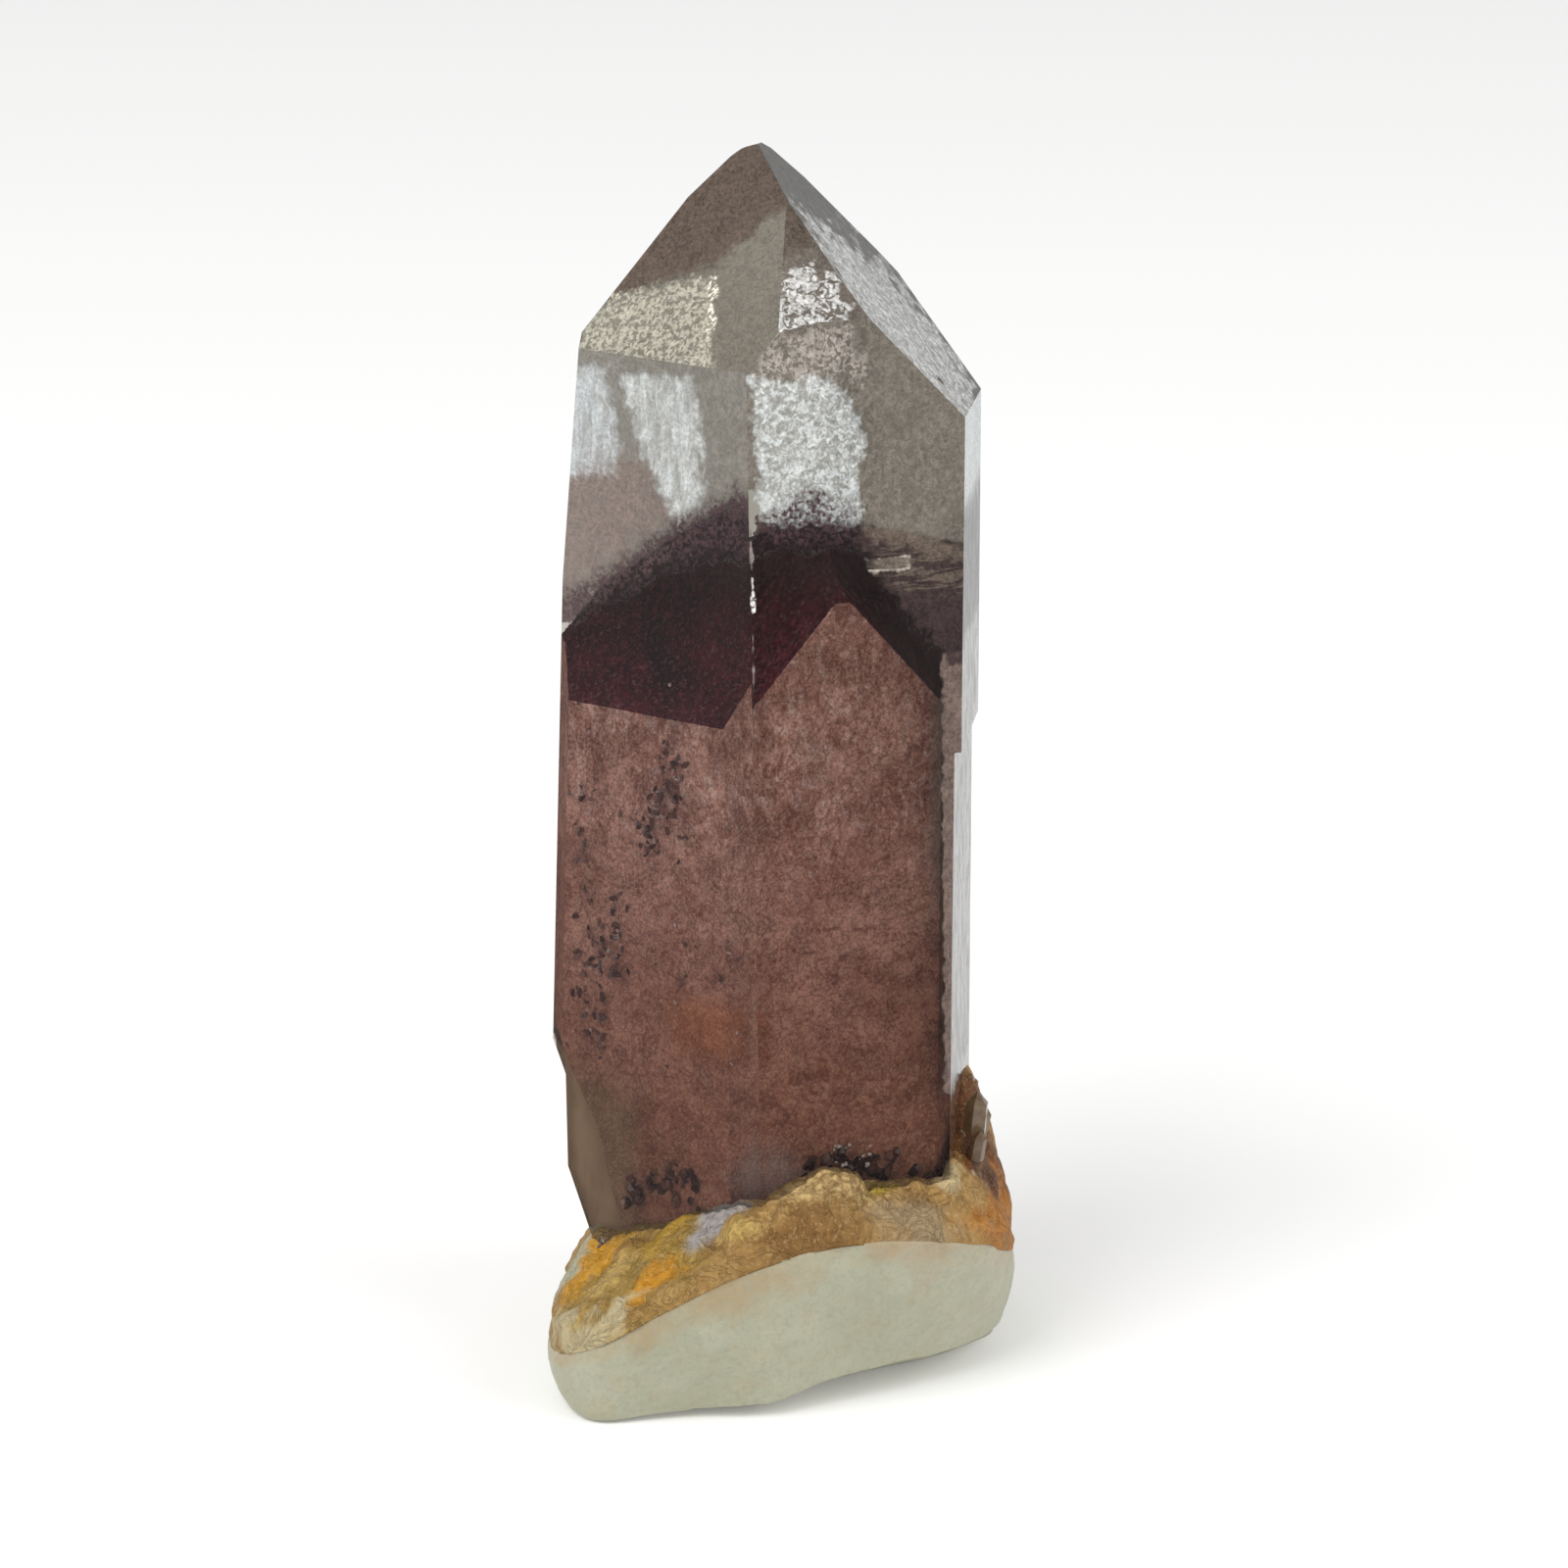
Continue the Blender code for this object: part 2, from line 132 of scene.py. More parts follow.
# Chipped places on the edges: centre and radius
CHIPS = (
    ((3.75, -0.6, 58.6), 0.55),
    ((6.3, -0.2, 56.0), 0.65),
    ((7.9, -2.6, 52.2), 0.45),
    ((9.95, 0.2, 33.4), 0.4),
)
CHIP_SEED = 20


def block(left, low, right, high):
    """Corners of an upright rectangle."""
    return ((left, low), (right, low), (right, high), (left, high))


# Clouded patches on the outer faces, with painted reflections and painted highlights where marked:
# face, corners as x and z or none for the whole face, tint, clouding, kind of texture, how far it
# breaks the patch up, how soft it is, and the width over which the patch's edge fades
PATCHES = (
    (6, (), (0.212, 0.192, 0.158), 0.66, "dapples", 0.22, 0.12, 0.18),
    (7, (), (0.18, 0.152, 0.128), 0.8, "dapples", 0.2, 0.1, 0.18),
    (8, (), (0.064, 0.06, 0.051), 0.95, "dapples", 0.14, 0.12, 0.18),
    (9, (), (0.4, 0.38, 0.34), 0.42, "clouds", 0.6, 0.14, 0.18),
    (10, (), (0.36, 0.34, 0.3), 0.42, "clouds", 0.6, 0.14, 0.18),
    (11, (), (0.38, 0.36, 0.32), 0.42, "clouds", 0.6, 0.14, 0.18),
    (0, ((-11.6, 54), (-1, 54.4), (-1, 48.4), (-11.6, 40.6)),
     (0.24, 0.226, 0.2), 0.62, "clouds", 0.32, 0.14, 0.4),
    (0, ((-11.6, 48.6), (-6.4, 48.4), (-5.2, 46), (-11.6, 40.2)),
     (0.225, 0.172, 0.152), 0.7, "clouds", 0.3, 0.14, 0.6),
    (1, ((-2.2, 56.8), (10.4, 56.8), (10.4, 42.6), (4.4, 45.4), (-2.2, 47.4)),
     (0.205, 0.18, 0.15), 0.76, "clouds", 0.25, 0.12, 0.3),
    (1, ((7.85, 38.8), (9.8, 38.8), (9.8, 16), (8.1, 16)),
     (0.19, 0.136, 0.115), 0.85, "upright", 0.12, 0.14, 0.08),
    (1, ((3.4, 45.8), (5, 45.4), (9.8, 44), (9.8, 41), (6.6, 41.4), (5, 42.6)),
     (0.145, 0.108, 0.086), 0.9, "level", 0.15, 0.12, 0.3),
    (1, ((3.4, 45.4), (5, 44.8), (9.8, 43.2), (9.8, 40.6), (6.6, 41.2), (5, 42.4)),
     (0.05, 0.032, 0.03), 0.92, "level", 0.97, 0.06, 0.25),
    (1, ((5.2, 42.2), (9.8, 41.6), (9.8, 38), (8.2, 38.4), (7, 39.8)),
     (0.046, 0.028, 0.029), 0.93, "clouds", 0.25, 0.12, 0.25),
    (1, ((4, 43.9), (6.2, 43.8), (6.2, 43.2), (4.2, 43.3)),
     (0.46, 0.41, 0.35), 0.85, "level", 0.9, 0.05, 0.1),
    (2, block(7.0, 15.5, 11.5, 39.5), (0.18, 0.172, 0.168), 0.8, "upright", 0.6, 0.14, 0.6),
    (2, block(7.0, 38.8, 11.5, 46.6), (0.078, 0.072, 0.073), 0.9, "upright", 0.22, 0.14, 0.8),
    # Painted reflection: bluish white at the top of the narrow right face, in place of the bright
    # surroundings that it mirrors
    (2, block(7.0, 46.0, 11.5, 56.0), (0.5, 0.55, 0.56), 0.85, "upright", 0.35, 0.14, 1.0),
    (6, ((-9.8, 55.2), (-4.5, 57.3), (-3, 58), (-1.5, 59.3), (0.6, 61.2), (1, 64), (-9.8, 64)),
     (0.128, 0.093, 0.072), 0.88, "specks", 0.12, 0.1, 0.25),
    (7, ((-2, 60.2), (0, 62.2), (1.4, 59.7), (1, 58.5), (-0.4, 58.8)),
     (0.118, 0.09, 0.071), 0.88, "dapples", 0.12, 0.1, 0.3),
    (6, ((-10.3, 53), (-9.8, 55), (-8.4, 56), (-4.2, 57.4), (-3.7, 57.4), (-3.4, 53.6)),
     (0.6, 0.57, 0.46), 0.6, "specks", 0.7, 0.07, 0.15),
    (6, ((-3.75, 57.3), (-3.3, 57.4), (-3.4, 55.6), (-3.7, 55)),
     (0.92, 0.9, 0.74), 0.9, "specks", 0.85, 0.06, 0.1),
    (7, ((-0.4, 58), (1.2, 58.2), (2.5, 57.8), (3.1, 56.3), (2.9, 55), (-0.6, 55.1)),
     (0.72, 0.71, 0.69), 0.8, "dapples", 0.97, 0.07, 0.22),
    (1, ((-1.3, 53.3), (-0.6, 55.6), (3.3, 55.4), (4.2, 53.4), (3.3, 52.9)),
     (0.42, 0.37, 0.33), 0.58, "specks", 0.92, 0.08, 0.45),
    (0, ((-10.8, 52.5), (-8.9, 52.6), (-8.3, 49.5), (-8.6, 47.6), (-10.9, 47.2)),
     (0.6, 0.64, 0.66), 0.62, "upright", 0.6, 0.18, 0.5),
    (0, ((-8.2, 52.6), (-4.4, 52.9), (-4.1, 50.4), (-4.2, 46.8), (-5.3, 45.9), (-6.8, 48.6)),
     (0.66, 0.69, 0.69), 0.66, "upright", 0.6, 0.16, 0.35),
    (1, ((-1.6, 53.3), (2.1, 53.1), (3.3, 51.9), (3.8, 50.3), (3.8, 45.6), (-1.2, 46.4)),
     (0.68, 0.71, 0.7), 0.7, "dapples", 0.62, 0.1, 0.2),
    # Painted reflection: a pale stripe on this end face, in place of a bright light mirrored in it
    (8, ((1.2, 59.9), (3, 58.3), (6.3, 54.9), (9.6, 50.7), (9.2, 50.2), (8.4, 50.6), (5.2, 54.2), (3, 57)),
     (0.62, 0.62, 0.61), 0.8, "dapples", 0.62, 0.08, 0.16),
    (0, ((-7.4, 43), (-7.2, 44.4), (-4.5, 46.4), (-2.3, 48.1), (-1.5, 47.4), (-1.3, 45)),
     (0.055, 0.03, 0.034), 0.96, "specks", 0.8, 0.12, 0.45),
    (0, ((-11.6, 39.2), (-11.6, 40.8), (-8.5, 43.1), (-5.8, 45), (-5.4, 43.6)),
     (0.07, 0.042, 0.044), 0.92, "specks", 0.8, 0.12, 0.45),
    (1, ((-1.3, 45.2), (-1.3, 46.4), (0, 47.2), (1.3, 47.9), (2.8, 46.8), (4.2, 44.8)),
     (0.055, 0.03, 0.034), 0.96, "specks", 0.8, 0.12, 0.45),
    # Painted highlight: a faint light line and white glints along the edge between the two front prism faces
    (1, ((-1.66, 47), (-1.62, 47), (-1.44, 36), (-1.48, 36)),
     (0.42, 0.34, 0.33), 0.6, "upright", 0.8, 0.1, 0.06),
    (1, ((-1.66, 43.6), (-1.46, 43.6), (-1.4, 41.8), (-1.54, 41.8)),
     (0.8, 0.76, 0.72), 0.9, "specks", 0.95, 0.06, 0.05),
)

# Named colours of the crust's spots: angle and share of the way from the rock's
# edge to the quartz, their spreads, and the colour
CRUST_SPOTS = (
    (226.0, 0.60, 26.0, 0.80, (0.260, 0.160, 0.034)),
    (230.0, 0.74, 8.0, 0.26, (0.370, 0.215, 0.022)),
    (207.0, 0.46, 8.0, 0.30, (0.50, 0.240, 0.008)),
    (236.0, 0.24, 7.0, 0.22, (0.46, 0.205, 0.006)),
    (221.0, 0.40, 4.0, 0.24, (0.46, 0.300, 0.085)),
    (216.0, 0.66, 3.0, 0.16, (0.230, 0.125, 0.030)),
    (222.0, 0.06, 14.0, 0.10, (0.42, 0.350, 0.200)),
    (244.0, 0.60, 7.0, 0.30, (0.290, 0.175, 0.026)),
    (259.0, 0.42, 5.0, 0.22, (0.440, 0.290, 0.080)),
    (253.0, 0.45, 1.6, 0.32, (0.170, 0.090, 0.022)),
    (250.0, 0.84, 9.0, 0.34, (0.34, 0.320, 0.310)),
    (276.0, 0.16, 20.0, 0.26, (0.200, 0.098, 0.022)),
    (289.0, 0.74, 22.0, 0.30, (0.50, 0.345, 0.140)),
    (304.0, 0.74, 6.0, 0.18, (0.36, 0.255, 0.030)),
    (308.0, 0.20, 13.0, 0.34, (0.29, 0.205, 0.110)),
    (333.0, 0.55, 7.0, 0.60, (0.40, 0.240, 0.075)),
    (354.0, 0.50, 16.0, 0.70, (0.125, 0.036, 0.004)),
    (340.0, 0.72, 6.0, 0.20, (0.160, 0.055, 0.008)),
    (346.0, 0.52, 7.0, 0.22, (0.075, 0.020, 0.004)),
    (344.0, 0.10, 20.0, 0.20, (0.36, 0.135, 0.012)),
    (327.0, 0.86, 7.0, 0.22, (0.50, 0.390, 0.210)),
    (194.0, 0.30, 8.0, 0.80, (0.40, 0.400, 0.290)),
    (30.0, 0.40, 12.0, 0.40, (0.40, 0.250, 0.085)),
    (62.0, 0.70, 14.0, 0.26, (0.46, 0.330, 0.150)),
    (84.0, 0.24, 12.0, 0.26, (0.42, 0.200, 0.020)),
    (112.0, 0.66, 12.0, 0.34, (0.180, 0.085, 0.022)),
    (138.0, 0.30, 12.0, 0.30, (0.44, 0.310, 0.120)),
    (164.0, 0.60, 10.0, 0.36, (0.38, 0.190, 0.024)),
)

# Clusters of flakes at the phantom's left front face: x, z, spreads, count and share of pale ones
FLAKE_CLUSTERS = (
    (-5.4, 32.8, 0.40, 1.0, 44, 0.40),
    (-6.1, 30.6, 0.50, 1.0, 48, 0.30),
    (-6.9, 28.9, 0.45, 0.7, 26, 0.20),
    (-8.6, 23.6, 0.60, 1.1, 44, 0.25),
    (-9.5, 21.4, 0.60, 1.3, 44, 0.30),
    (-10.0, 29.5, 0.35, 2.4, 26, 0.15),
    (-9.8, 17.8, 0.45, 1.1, 22, 0.15),
    (-5.0, 26.0, 2.4, 4.5, 40, 0.75),
)
FLAKE_LOOKS = (
    ("hematite_flakes", 1.0, (0.040, 0.010, 0.012), (0.20, 0.085, 0.075)),
    ("pale_flakes", 0.6, (0.30, 0.17, 0.14), (0.55, 0.40, 0.36)),
)

# Dark crystals at the phantom's foot: front face, ranges of x and z, count and room under the glass
ROOT_CRYSTALS = (
    (0, (-7.9, -6.2), (9.4, 11.6), 16, 0.6),
    (0, (-6.2, -4.0), (10.0, 12.2), 20, 0.6),
    (1, (0.6, 3.0), (11.6, 13.0), 18, 1.2),
    (1, (2.6, 5.4), (11.2, 12.8), 22, 1.2),
    (1, (5.2, 8.2), (10.2, 11.8), 20, 1.0),
)

# Small quartz points along the edge of the crust: range of angles and count
DRUSE_SPANS = ((262.0, 330.0, 40), (332.0, 368.0, 22), (10.0, 205.0, 50))
CRYSTAL_POINTS = 13

# Camera of the photo's view
CAMERA_PLACE = (0.0, -0.300, 0.1183)
CAMERA_PITCH = 16.3
CAMERA_LENS = 141.3
SENSOR_WIDTH = 36.0
FLOOR_REACH = 2000.0


# Noise on arrays of points


def lattice(cells, seed):
    """A fixed number from 0 to 1 for each whole-number cell: the fraction of a large sine."""
    mixed = cells @ np.array([127.1, 311.7, 74.7]) + seed * 19.19
    return np.modf(np.abs(np.sin(mixed)) * 43758.5453)[0]


def smooth_noise(points, size, seed):
    """Noise from -1 to 1: the lattice numbers at a cell's corners, blended by 3t^2 - 2t^3 on each axis."""
    scaled = points / size
    base = np.floor(scaled)
    t = scaled - base
    t = t * t * (3.0 - 2.0 * t)
    total = np.zeros(len(points))
    for corner in itertools.product((0, 1), repeat=3):
        weight = np.prod(np.where(corner, t, 1.0 - t), axis=1)
        total += weight * lattice(base + corner, seed)
    return total * 2.0 - 1.0


def layered_noise(points, size, seed, layers=4):
    """Sum of smooth noises, each at half the size and half the height of the one before."""
    total = np.zeros(len(points))
    for layer in range(layers):
        total += 0.5**layer * smooth_noise(points, size * 0.5**layer, seed + 7 * layer)
    return total / (2.0 - 0.5 ** (layers - 1))


def grain_height(points, size, seed):
    """Rounded grains from 0 to 1: a dome over the nearest jittered centre of the 27 cells around."""
    scaled = points / size
    base = np.floor(scaled)
    nearest = np.full(len(points), 9.0)
    for corner in itertools.product((-1, 0, 1), repeat=3):
        cell = base + corner
        centre = cell + np.stack([lattice(cell, seed + k) for k in range(3)], axis=1)
        nearest = np.minimum(nearest, np.linalg.norm(scaled - centre, axis=1))
    return np.sqrt(np.clip(1.0 - (nearest / 0.85) ** 2, 0.0, 1.0))


def smooth_step(value, start, end):
    """0 below start, 1 above end and 3t^2 - 2t^3 between."""
    t = np.clip((value - start) / (end - start), 0.0, 1.0)
    return t * t * (3.0 - 2.0 * t)


def spread(value, middle, width):
    """A bell from 1 at the middle towards 0: e to the minus square of the distance over the width."""
    return np.exp(-(((value - middle) / width) ** 2))


def degrees_round(points):
    """Angle of each point round the Z axis, from 0 to 360 degrees."""
    return np.degrees(np.arctan2(points[:, 1], points[:, 0])) % 360.0


# Meshes from arrays


def new_piece(name, points, faces, material, smooth=True):
    """A mesh piece from points in millimetres and lists of faces, its place held in the mesh."""
    mesh = bpy.data.meshes.new(name)
    mesh.from_pydata((np.asarray(points) * MM).tolist(), [], faces)
    mesh.polygons.foreach_set("use_smooth", np.full(len(mesh.polygons), smooth))
    mesh.validate()
    mesh.update()
    piece = bpy.data.objects.new(name, mesh)
    bpy.context.collection.objects.link(piece)
    if material is not None:
        mesh.materials.append(material)
    return piece


def point_attribute(piece, name, values):
    """Stores one number for each point, or one colour where values has columns."""
    values = np.asarray(values, dtype=float)
    if values.ndim == 1:
        layer = piece.data.attributes.new(name, "FLOAT", "POINT")
        layer.data.foreach_set("value", values)
        return
    padded = np.ones((len(values), 4))
    padded[:, : values.shape[1]] = values
    layer = piece.data.attributes.new(name, "FLOAT_COLOR", "POINT")
    layer.data.foreach_set("color", padded.ravel())


def face_attribute(piece, name, values):
    """Stores one number for each face."""
    layer = piece.data.attributes.new(name, "FLOAT", "FACE")
    layer.data.foreach_set("value", np.asarray(values, dtype=float))


def face_normals(piece):
    normals = np.zeros(len(piece.data.polygons) * 3)
    piece.data.polygons.foreach_get("normal", normals)
    return normals.reshape(-1, 3)


def apply_modifiers(piece):
    """Replaces the piece's mesh by the one that its modifiers give."""
    shown = piece.evaluated_get(bpy.context.evaluated_depsgraph_get())
    mesh = bpy.data.meshes.new_from_object(shown)
    piece.modifiers.clear()
    old = piece.data
    piece.data = mesh
    bpy.data.meshes.remove(old)


def outward_mesh(piece):
    """Turns all faces of a closed mesh outward."""
    bm = bmesh.new()
    bm.from_mesh(piece.data)
    bmesh.ops.recalc_face_normals(bm, faces=bm.faces)
    bm.to_mesh(piece.data)
    bm.free()


def cut_away(piece, solids):
    """Takes closed solids, given as points and faces, out of the piece."""
    cutters = []
    for points, faces in solids:
        cutter = new_piece("cutter", points, faces, None, smooth=False)
        outward_mesh(cutter)
        modifier = piece.modifiers.new("cut", "BOOLEAN")
        modifier.operation = "DIFFERENCE"
        modifier.solver = "EXACT"
        modifier.object = cutter
        cutters.append(cutter)
    apply_modifiers(piece)
    for cutter in cutters:
        mesh = cutter.data
        bpy.data.objects.remove(cutter, do_unlink=True)
        bpy.data.meshes.remove(mesh)


def bevelled(piece, width, segments=2):
    """Rounds the piece's sharp edges by the width in metres."""
    modifier = piece.modifiers.new("worn edges", "BEVEL")
    modifier.width = width
    modifier.segments = segments
    modifier.limit_method = "ANGLE"
    modifier.angle_limit = math.radians(12.0)
    modifier.use_clamp_overlap = True
    apply_modifiers(piece)


def ring_stack(rings):
    """Points and faces of rings joined in order, with a fan to the middle at both ends."""
    count = len(rings[0])
    stack = np.concatenate([*rings, [rings[0].mean(axis=0)], [rings[-1].mean(axis=0)]])
    lower = (np.arange(len(rings) - 1)[:, None] * count + np.arange(count)).ravel()
    ahead = (np.arange(len(rings) - 1)[:, None] * count + (np.arange(count) + 1) % count).ravel()
    quads = np.stack([lower, ahead, ahead + count, lower + count], axis=1)
    start, end = len(stack) - 2, len(stack) - 1
    first = np.arange(count)
    second = (first + 1) % count
    last = count * (len(rings) - 1)
    bottom = np.stack([second, first, np.full(count, start)], axis=1)
    top = np.stack([first + last, second + last, np.full(count, end)], axis=1)
    return stack, quads.tolist() + bottom.tolist() + top.tolist()


def ring_numbers(points, rings):
    """The ring that each point of a ring stack is on."""
    return np.minimum(np.arange(len(points)) // len(rings[0]), len(rings) - 1)


def surface_normals(points, faces):
    """Unit normals at the points of a mesh of quads and triangles."""
    total = np.zeros((len(points), 3))
    for size in (3, 4):
        group = np.array([face for face in faces if len(face) == size])
        corner = points[group]
        normal = np.cross(corner[:, 2] - corner[:, 0], corner[:, -1] - corner[:, 1])
        for column in range(size):
            np.add.at(total, group[:, column], normal)
    length = np.linalg.norm(total, axis=1)
    return total / np.maximum(length, 1e-9)[:, None]


def closed_curve(points, samples):
    """Points read evenly from a closed Catmull-Rom curve through the given points."""
    count = len(points)
    position = np.arange(samples) * count / samples
    base = np.floor(position).astype(int)
    t = (position - base)[:, None]
    before, start, end, after = (points[(base + shift) % count] for shift in (-1, 0, 1, 2))
    cubic = 3.0 * start - 3.0 * end + after - before
    square = 2.0 * before - 5.0 * start + 4.0 * end - after
    return 0.5 * (cubic * t**3 + square * t**2 + (end - before) * t + 2.0 * start)


# Crystal faces as planes: normal and distance from the origin


def lean_back(point, normal):
    """Tips a plane back about the X axis through the pivot height."""
    angle = math.radians(-AXIS_LEAN)
    c, s = math.cos(angle), math.sin(angle)
    turn = np.array([[1.0, 0.0, 0.0], [0.0, c, -s], [0.0, s, c]])
    pivot = np.array([0.0, 0.0, PIVOT_HEIGHT])
    normal = turn @ normal
    return np.append(normal, normal @ (turn @ (point - pivot) + pivot))


def face_heading(index):
    """Level direction that a prism or end face looks in."""
    azimuth = math.radians(FIRST_AZIMUTH + 60.0 * index)
    return np.array([math.sin(azimuth), -math.cos(azimuth), 0.0])


def prism_plane(index, distance, taper=None):
    taper = math.radians(PRISM_TAPER[index] if taper is None else taper)
    outward = face_heading(index)
    point = outward * distance + np.array([0.0, 0.0, PIVOT_HEIGHT])
    return lean_back(point, outward * math.cos(taper) + np.array([0.0, 0.0, math.sin(taper)]))


def end_plane(index, height, tilt):
    tilt = math.radians(tilt)
    normal = face_heading(index) * math.sin(tilt) + np.array([0.0, 0.0, math.cos(tilt)])
    return lean_back(np.array([0.0, 0.0, height]), normal)


def root_plane():
    normal = np.array([ROOT_RISE, 0.0, -1.0])
    normal /= np.linalg.norm(normal)
    return np.append(normal, normal[2] * ROOT_HEIGHT)


def habit_planes(depths=(0.0,) * 6, heights=END_HEIGHT, tilts=END_TILT):
    """All faces of one crystal: rows of normal x, y, z and distance, the prism's drawn in by the depths."""
    distances = [outer - depth for outer, depth in zip(PRISM_DISTANCE, depths)]
    rows = [prism_plane(index, distance) for index, distance in enumerate(distances)]
    rows += [end_plane(index, *end) for index, end in enumerate(zip(heights, tilts))]
    rows.append(root_plane())
    return np.array(rows)


def phantom_planes():
    return habit_planes(PHANTOM_DEPTH, PHANTOM_END_HEIGHT, PHANTOM_END_TILT)


def plane_corners(planes):
    """The points where three planes meet that lie inside all the others, by solving each triple."""
    triples = np.array(list(itertools.combinations(range(len(planes)), 3)))
    matrices = planes[triples][:, :, :3]
    usable = np.abs(np.linalg.det(matrices)) > 1e-4
    matrices, levels = matrices[usable], planes[triples[usable]][:, :, 3]
    corners = np.linalg.solve(matrices, levels[:, :, None])[:, :, 0]
    inside = np.all(corners @ planes[:, :3].T <= planes[:, 3] + 1e-6, axis=1)
    return np.unique(np.round(corners[inside], 5), axis=0)


def convex_solid(planes):
    """Points and faces of the solid inside all the planes: each face is its plane's corners in turn."""
    corners = plane_corners(planes)
    if len(corners) < 4:
        raise ValueError("the planes enclose no solid")
    faces = []
    for row in planes:
        on_face = np.flatnonzero(np.abs(corners @ row[:3] - row[3]) < 1e-3)
        if len(on_face) < 3:
            continue
        spokes = corners[on_face] - corners[on_face].mean(axis=0)
        side = spokes[0] / np.linalg.norm(spokes[0])
        across = np.cross(row[:3], side)
        faces.append(on_face[np.argsort(np.arctan2(spokes @ across, spokes @ side))].tolist())
    return corners, faces


def swept_profile(profile, shift=0.0):
    """A side profile in x and z carried along the left prism face: points and faces of the prism."""
    heading = face_heading(LEFT_FACE)
    along = np.array([-heading[1], heading[0], 0.0]) * PROFILE_REACH
    outline = np.array([(x - shift, 0.0, z - shift) for x, z in profile])
    points = np.concatenate([outline + along, outline - along])
    count = len(outline)
    first = np.arange(count)
    second = (first + 1) % count
    walls = np.stack([first, second, second + count, first + count], axis=1).tolist()
    return points, walls + [first[::-1].tolist(), (first + count).tolist()]


# Node trees


class Value:
    """The output of a node: each sign in a sum or product of values adds one math node."""

    def __init__(self, nodes, socket):
        self.nodes = nodes
        self.socket = socket

    def __add__(self, other):
        return self.nodes.math("ADD", self, other)

    def __radd__(self, other):
        return self.nodes.math("ADD", other, self)

    def __sub__(self, other):
        return self.nodes.math("SUBTRACT", self, other)

    def __rsub__(self, other):
        return self.nodes.math("SUBTRACT", other, self)

    def __mul__(self, other):
        return self.nodes.math("MULTIPLY", self, other)

    def __rmul__(self, other):
        return self.nodes.math("MULTIPLY", other, self)

    def __truediv__(self, other):
        return self.nodes.math("DIVIDE", self, other)

    def __abs__(self):
        return self.nodes.math("ABSOLUTE", self, 0.0)


class Nodes:
    """Short ways to add the nodes of one material."""

    def __init__(self, name):
        self.material = bpy.data.materials.new(name)
        self.material.use_nodes = True
        self.tree = self.material.node_tree
        self.shader = self.tree.nodes["Principled BSDF"]
        self.output = self.tree.nodes["Material Output"]

    def put(self, socket, value):
        if isinstance(value, Value):
            self.tree.links.new(value.socket, socket)
        else:
            socket.default_value = value

    def add(self, kind, inputs, out=0, **settings):
        node = self.tree.nodes.new(kind)
        for key, value in settings.items():
            setattr(node, key, value)
        for key, value in inputs.items():
            self.put(node.inputs[key], value)
        return Value(self, node.outputs[out])

    def place(self):
        """Position on the piece in millimetres."""
        return self.scale(self.add("ShaderNodeTexCoord", {}, out="Object"), 1.0 / MM)

    def scale(self, vector, factor):
        return self.add("ShaderNodeVectorMath", {0: vector, "Scale": factor}, operation="SCALE")

    def vector(self, operation, first, second, out=0):
        return self.add("ShaderNodeVectorMath", {0: first, 1: second}, out=out, operation=operation)

    def part(self, vector, axis):
        return self.add("ShaderNodeSeparateXYZ", {"Vector": vector}, out=axis)

    def noise(self, vector, size, detail=3.0, rough=0.55, twist=0.0, stretch=None):
        """Noise about 0.5 whose lumps have the given size in millimetres, over each axis's stretch."""
        if stretch:
            vector = self.vector("MULTIPLY", vector, stretch)
        settings = {"Vector": vector, "Scale": 1.0 / size, "Detail": detail, "Roughness": rough}
        return self.add("ShaderNodeTexNoise", {**settings, "Distortion": twist})

    def creases(self, *noise, **settings):
        """0 along the lines where the noise passes through its middle."""
        return abs(self.noise(*noise, **settings) - 0.5)

    def cells(self, vector, size):
        return self.add("ShaderNodeTexVoronoi", {"Vector": vector, "Scale": 1.0 / size}, out="Distance")

    def ramp(self, value, start, end, low=0.0, high=1.0):
        """Smoothly from low at start to high at end."""
        settings = {"Value": value, "From Min": start, "From Max": end, "To Min": low, "To Max": high}
        return self.add("ShaderNodeMapRange", settings, interpolation_type="SMOOTHSTEP")

    def math(self, operation, first, second):
        return self.add("ShaderNodeMath", {0: first, 1: second}, operation=operation)

    def mix(self, share, first, second):
        """From the first colour to the second by the share."""
        node = self.tree.nodes.new("ShaderNodeMix")
        node.data_type = "RGBA"
        self.put(node.inputs["Factor"], share)
        self.put(node.inputs["A"], full(first))
        self.put(node.inputs["B"], full(second))
        return Value(self, node.outputs["Result"])

    def dot(self, vector, direction):
        return self.vector("DOT_PRODUCT", vector, direction, out="Value")

    def attribute(self, name, out="Fac"):
        return self.add("ShaderNodeAttribute", {}, out=out, attribute_name=name)

    def bump(self, height, distance, strength):
        settings = {"Height": height, "Distance": distance * MM, "Strength": strength}
        return self.add("ShaderNodeBump", settings)

    def shade(self, **inputs):
        for key, value in inputs.items():
            self.put(self.shader.inputs[key.replace("_", " ")], value)


def full(colour):
    """Adds the fourth number to a colour; a node's output stays as it is."""
    return colour if isinstance(colour, Value) else (*colour[:3], 1.0)


# Materials


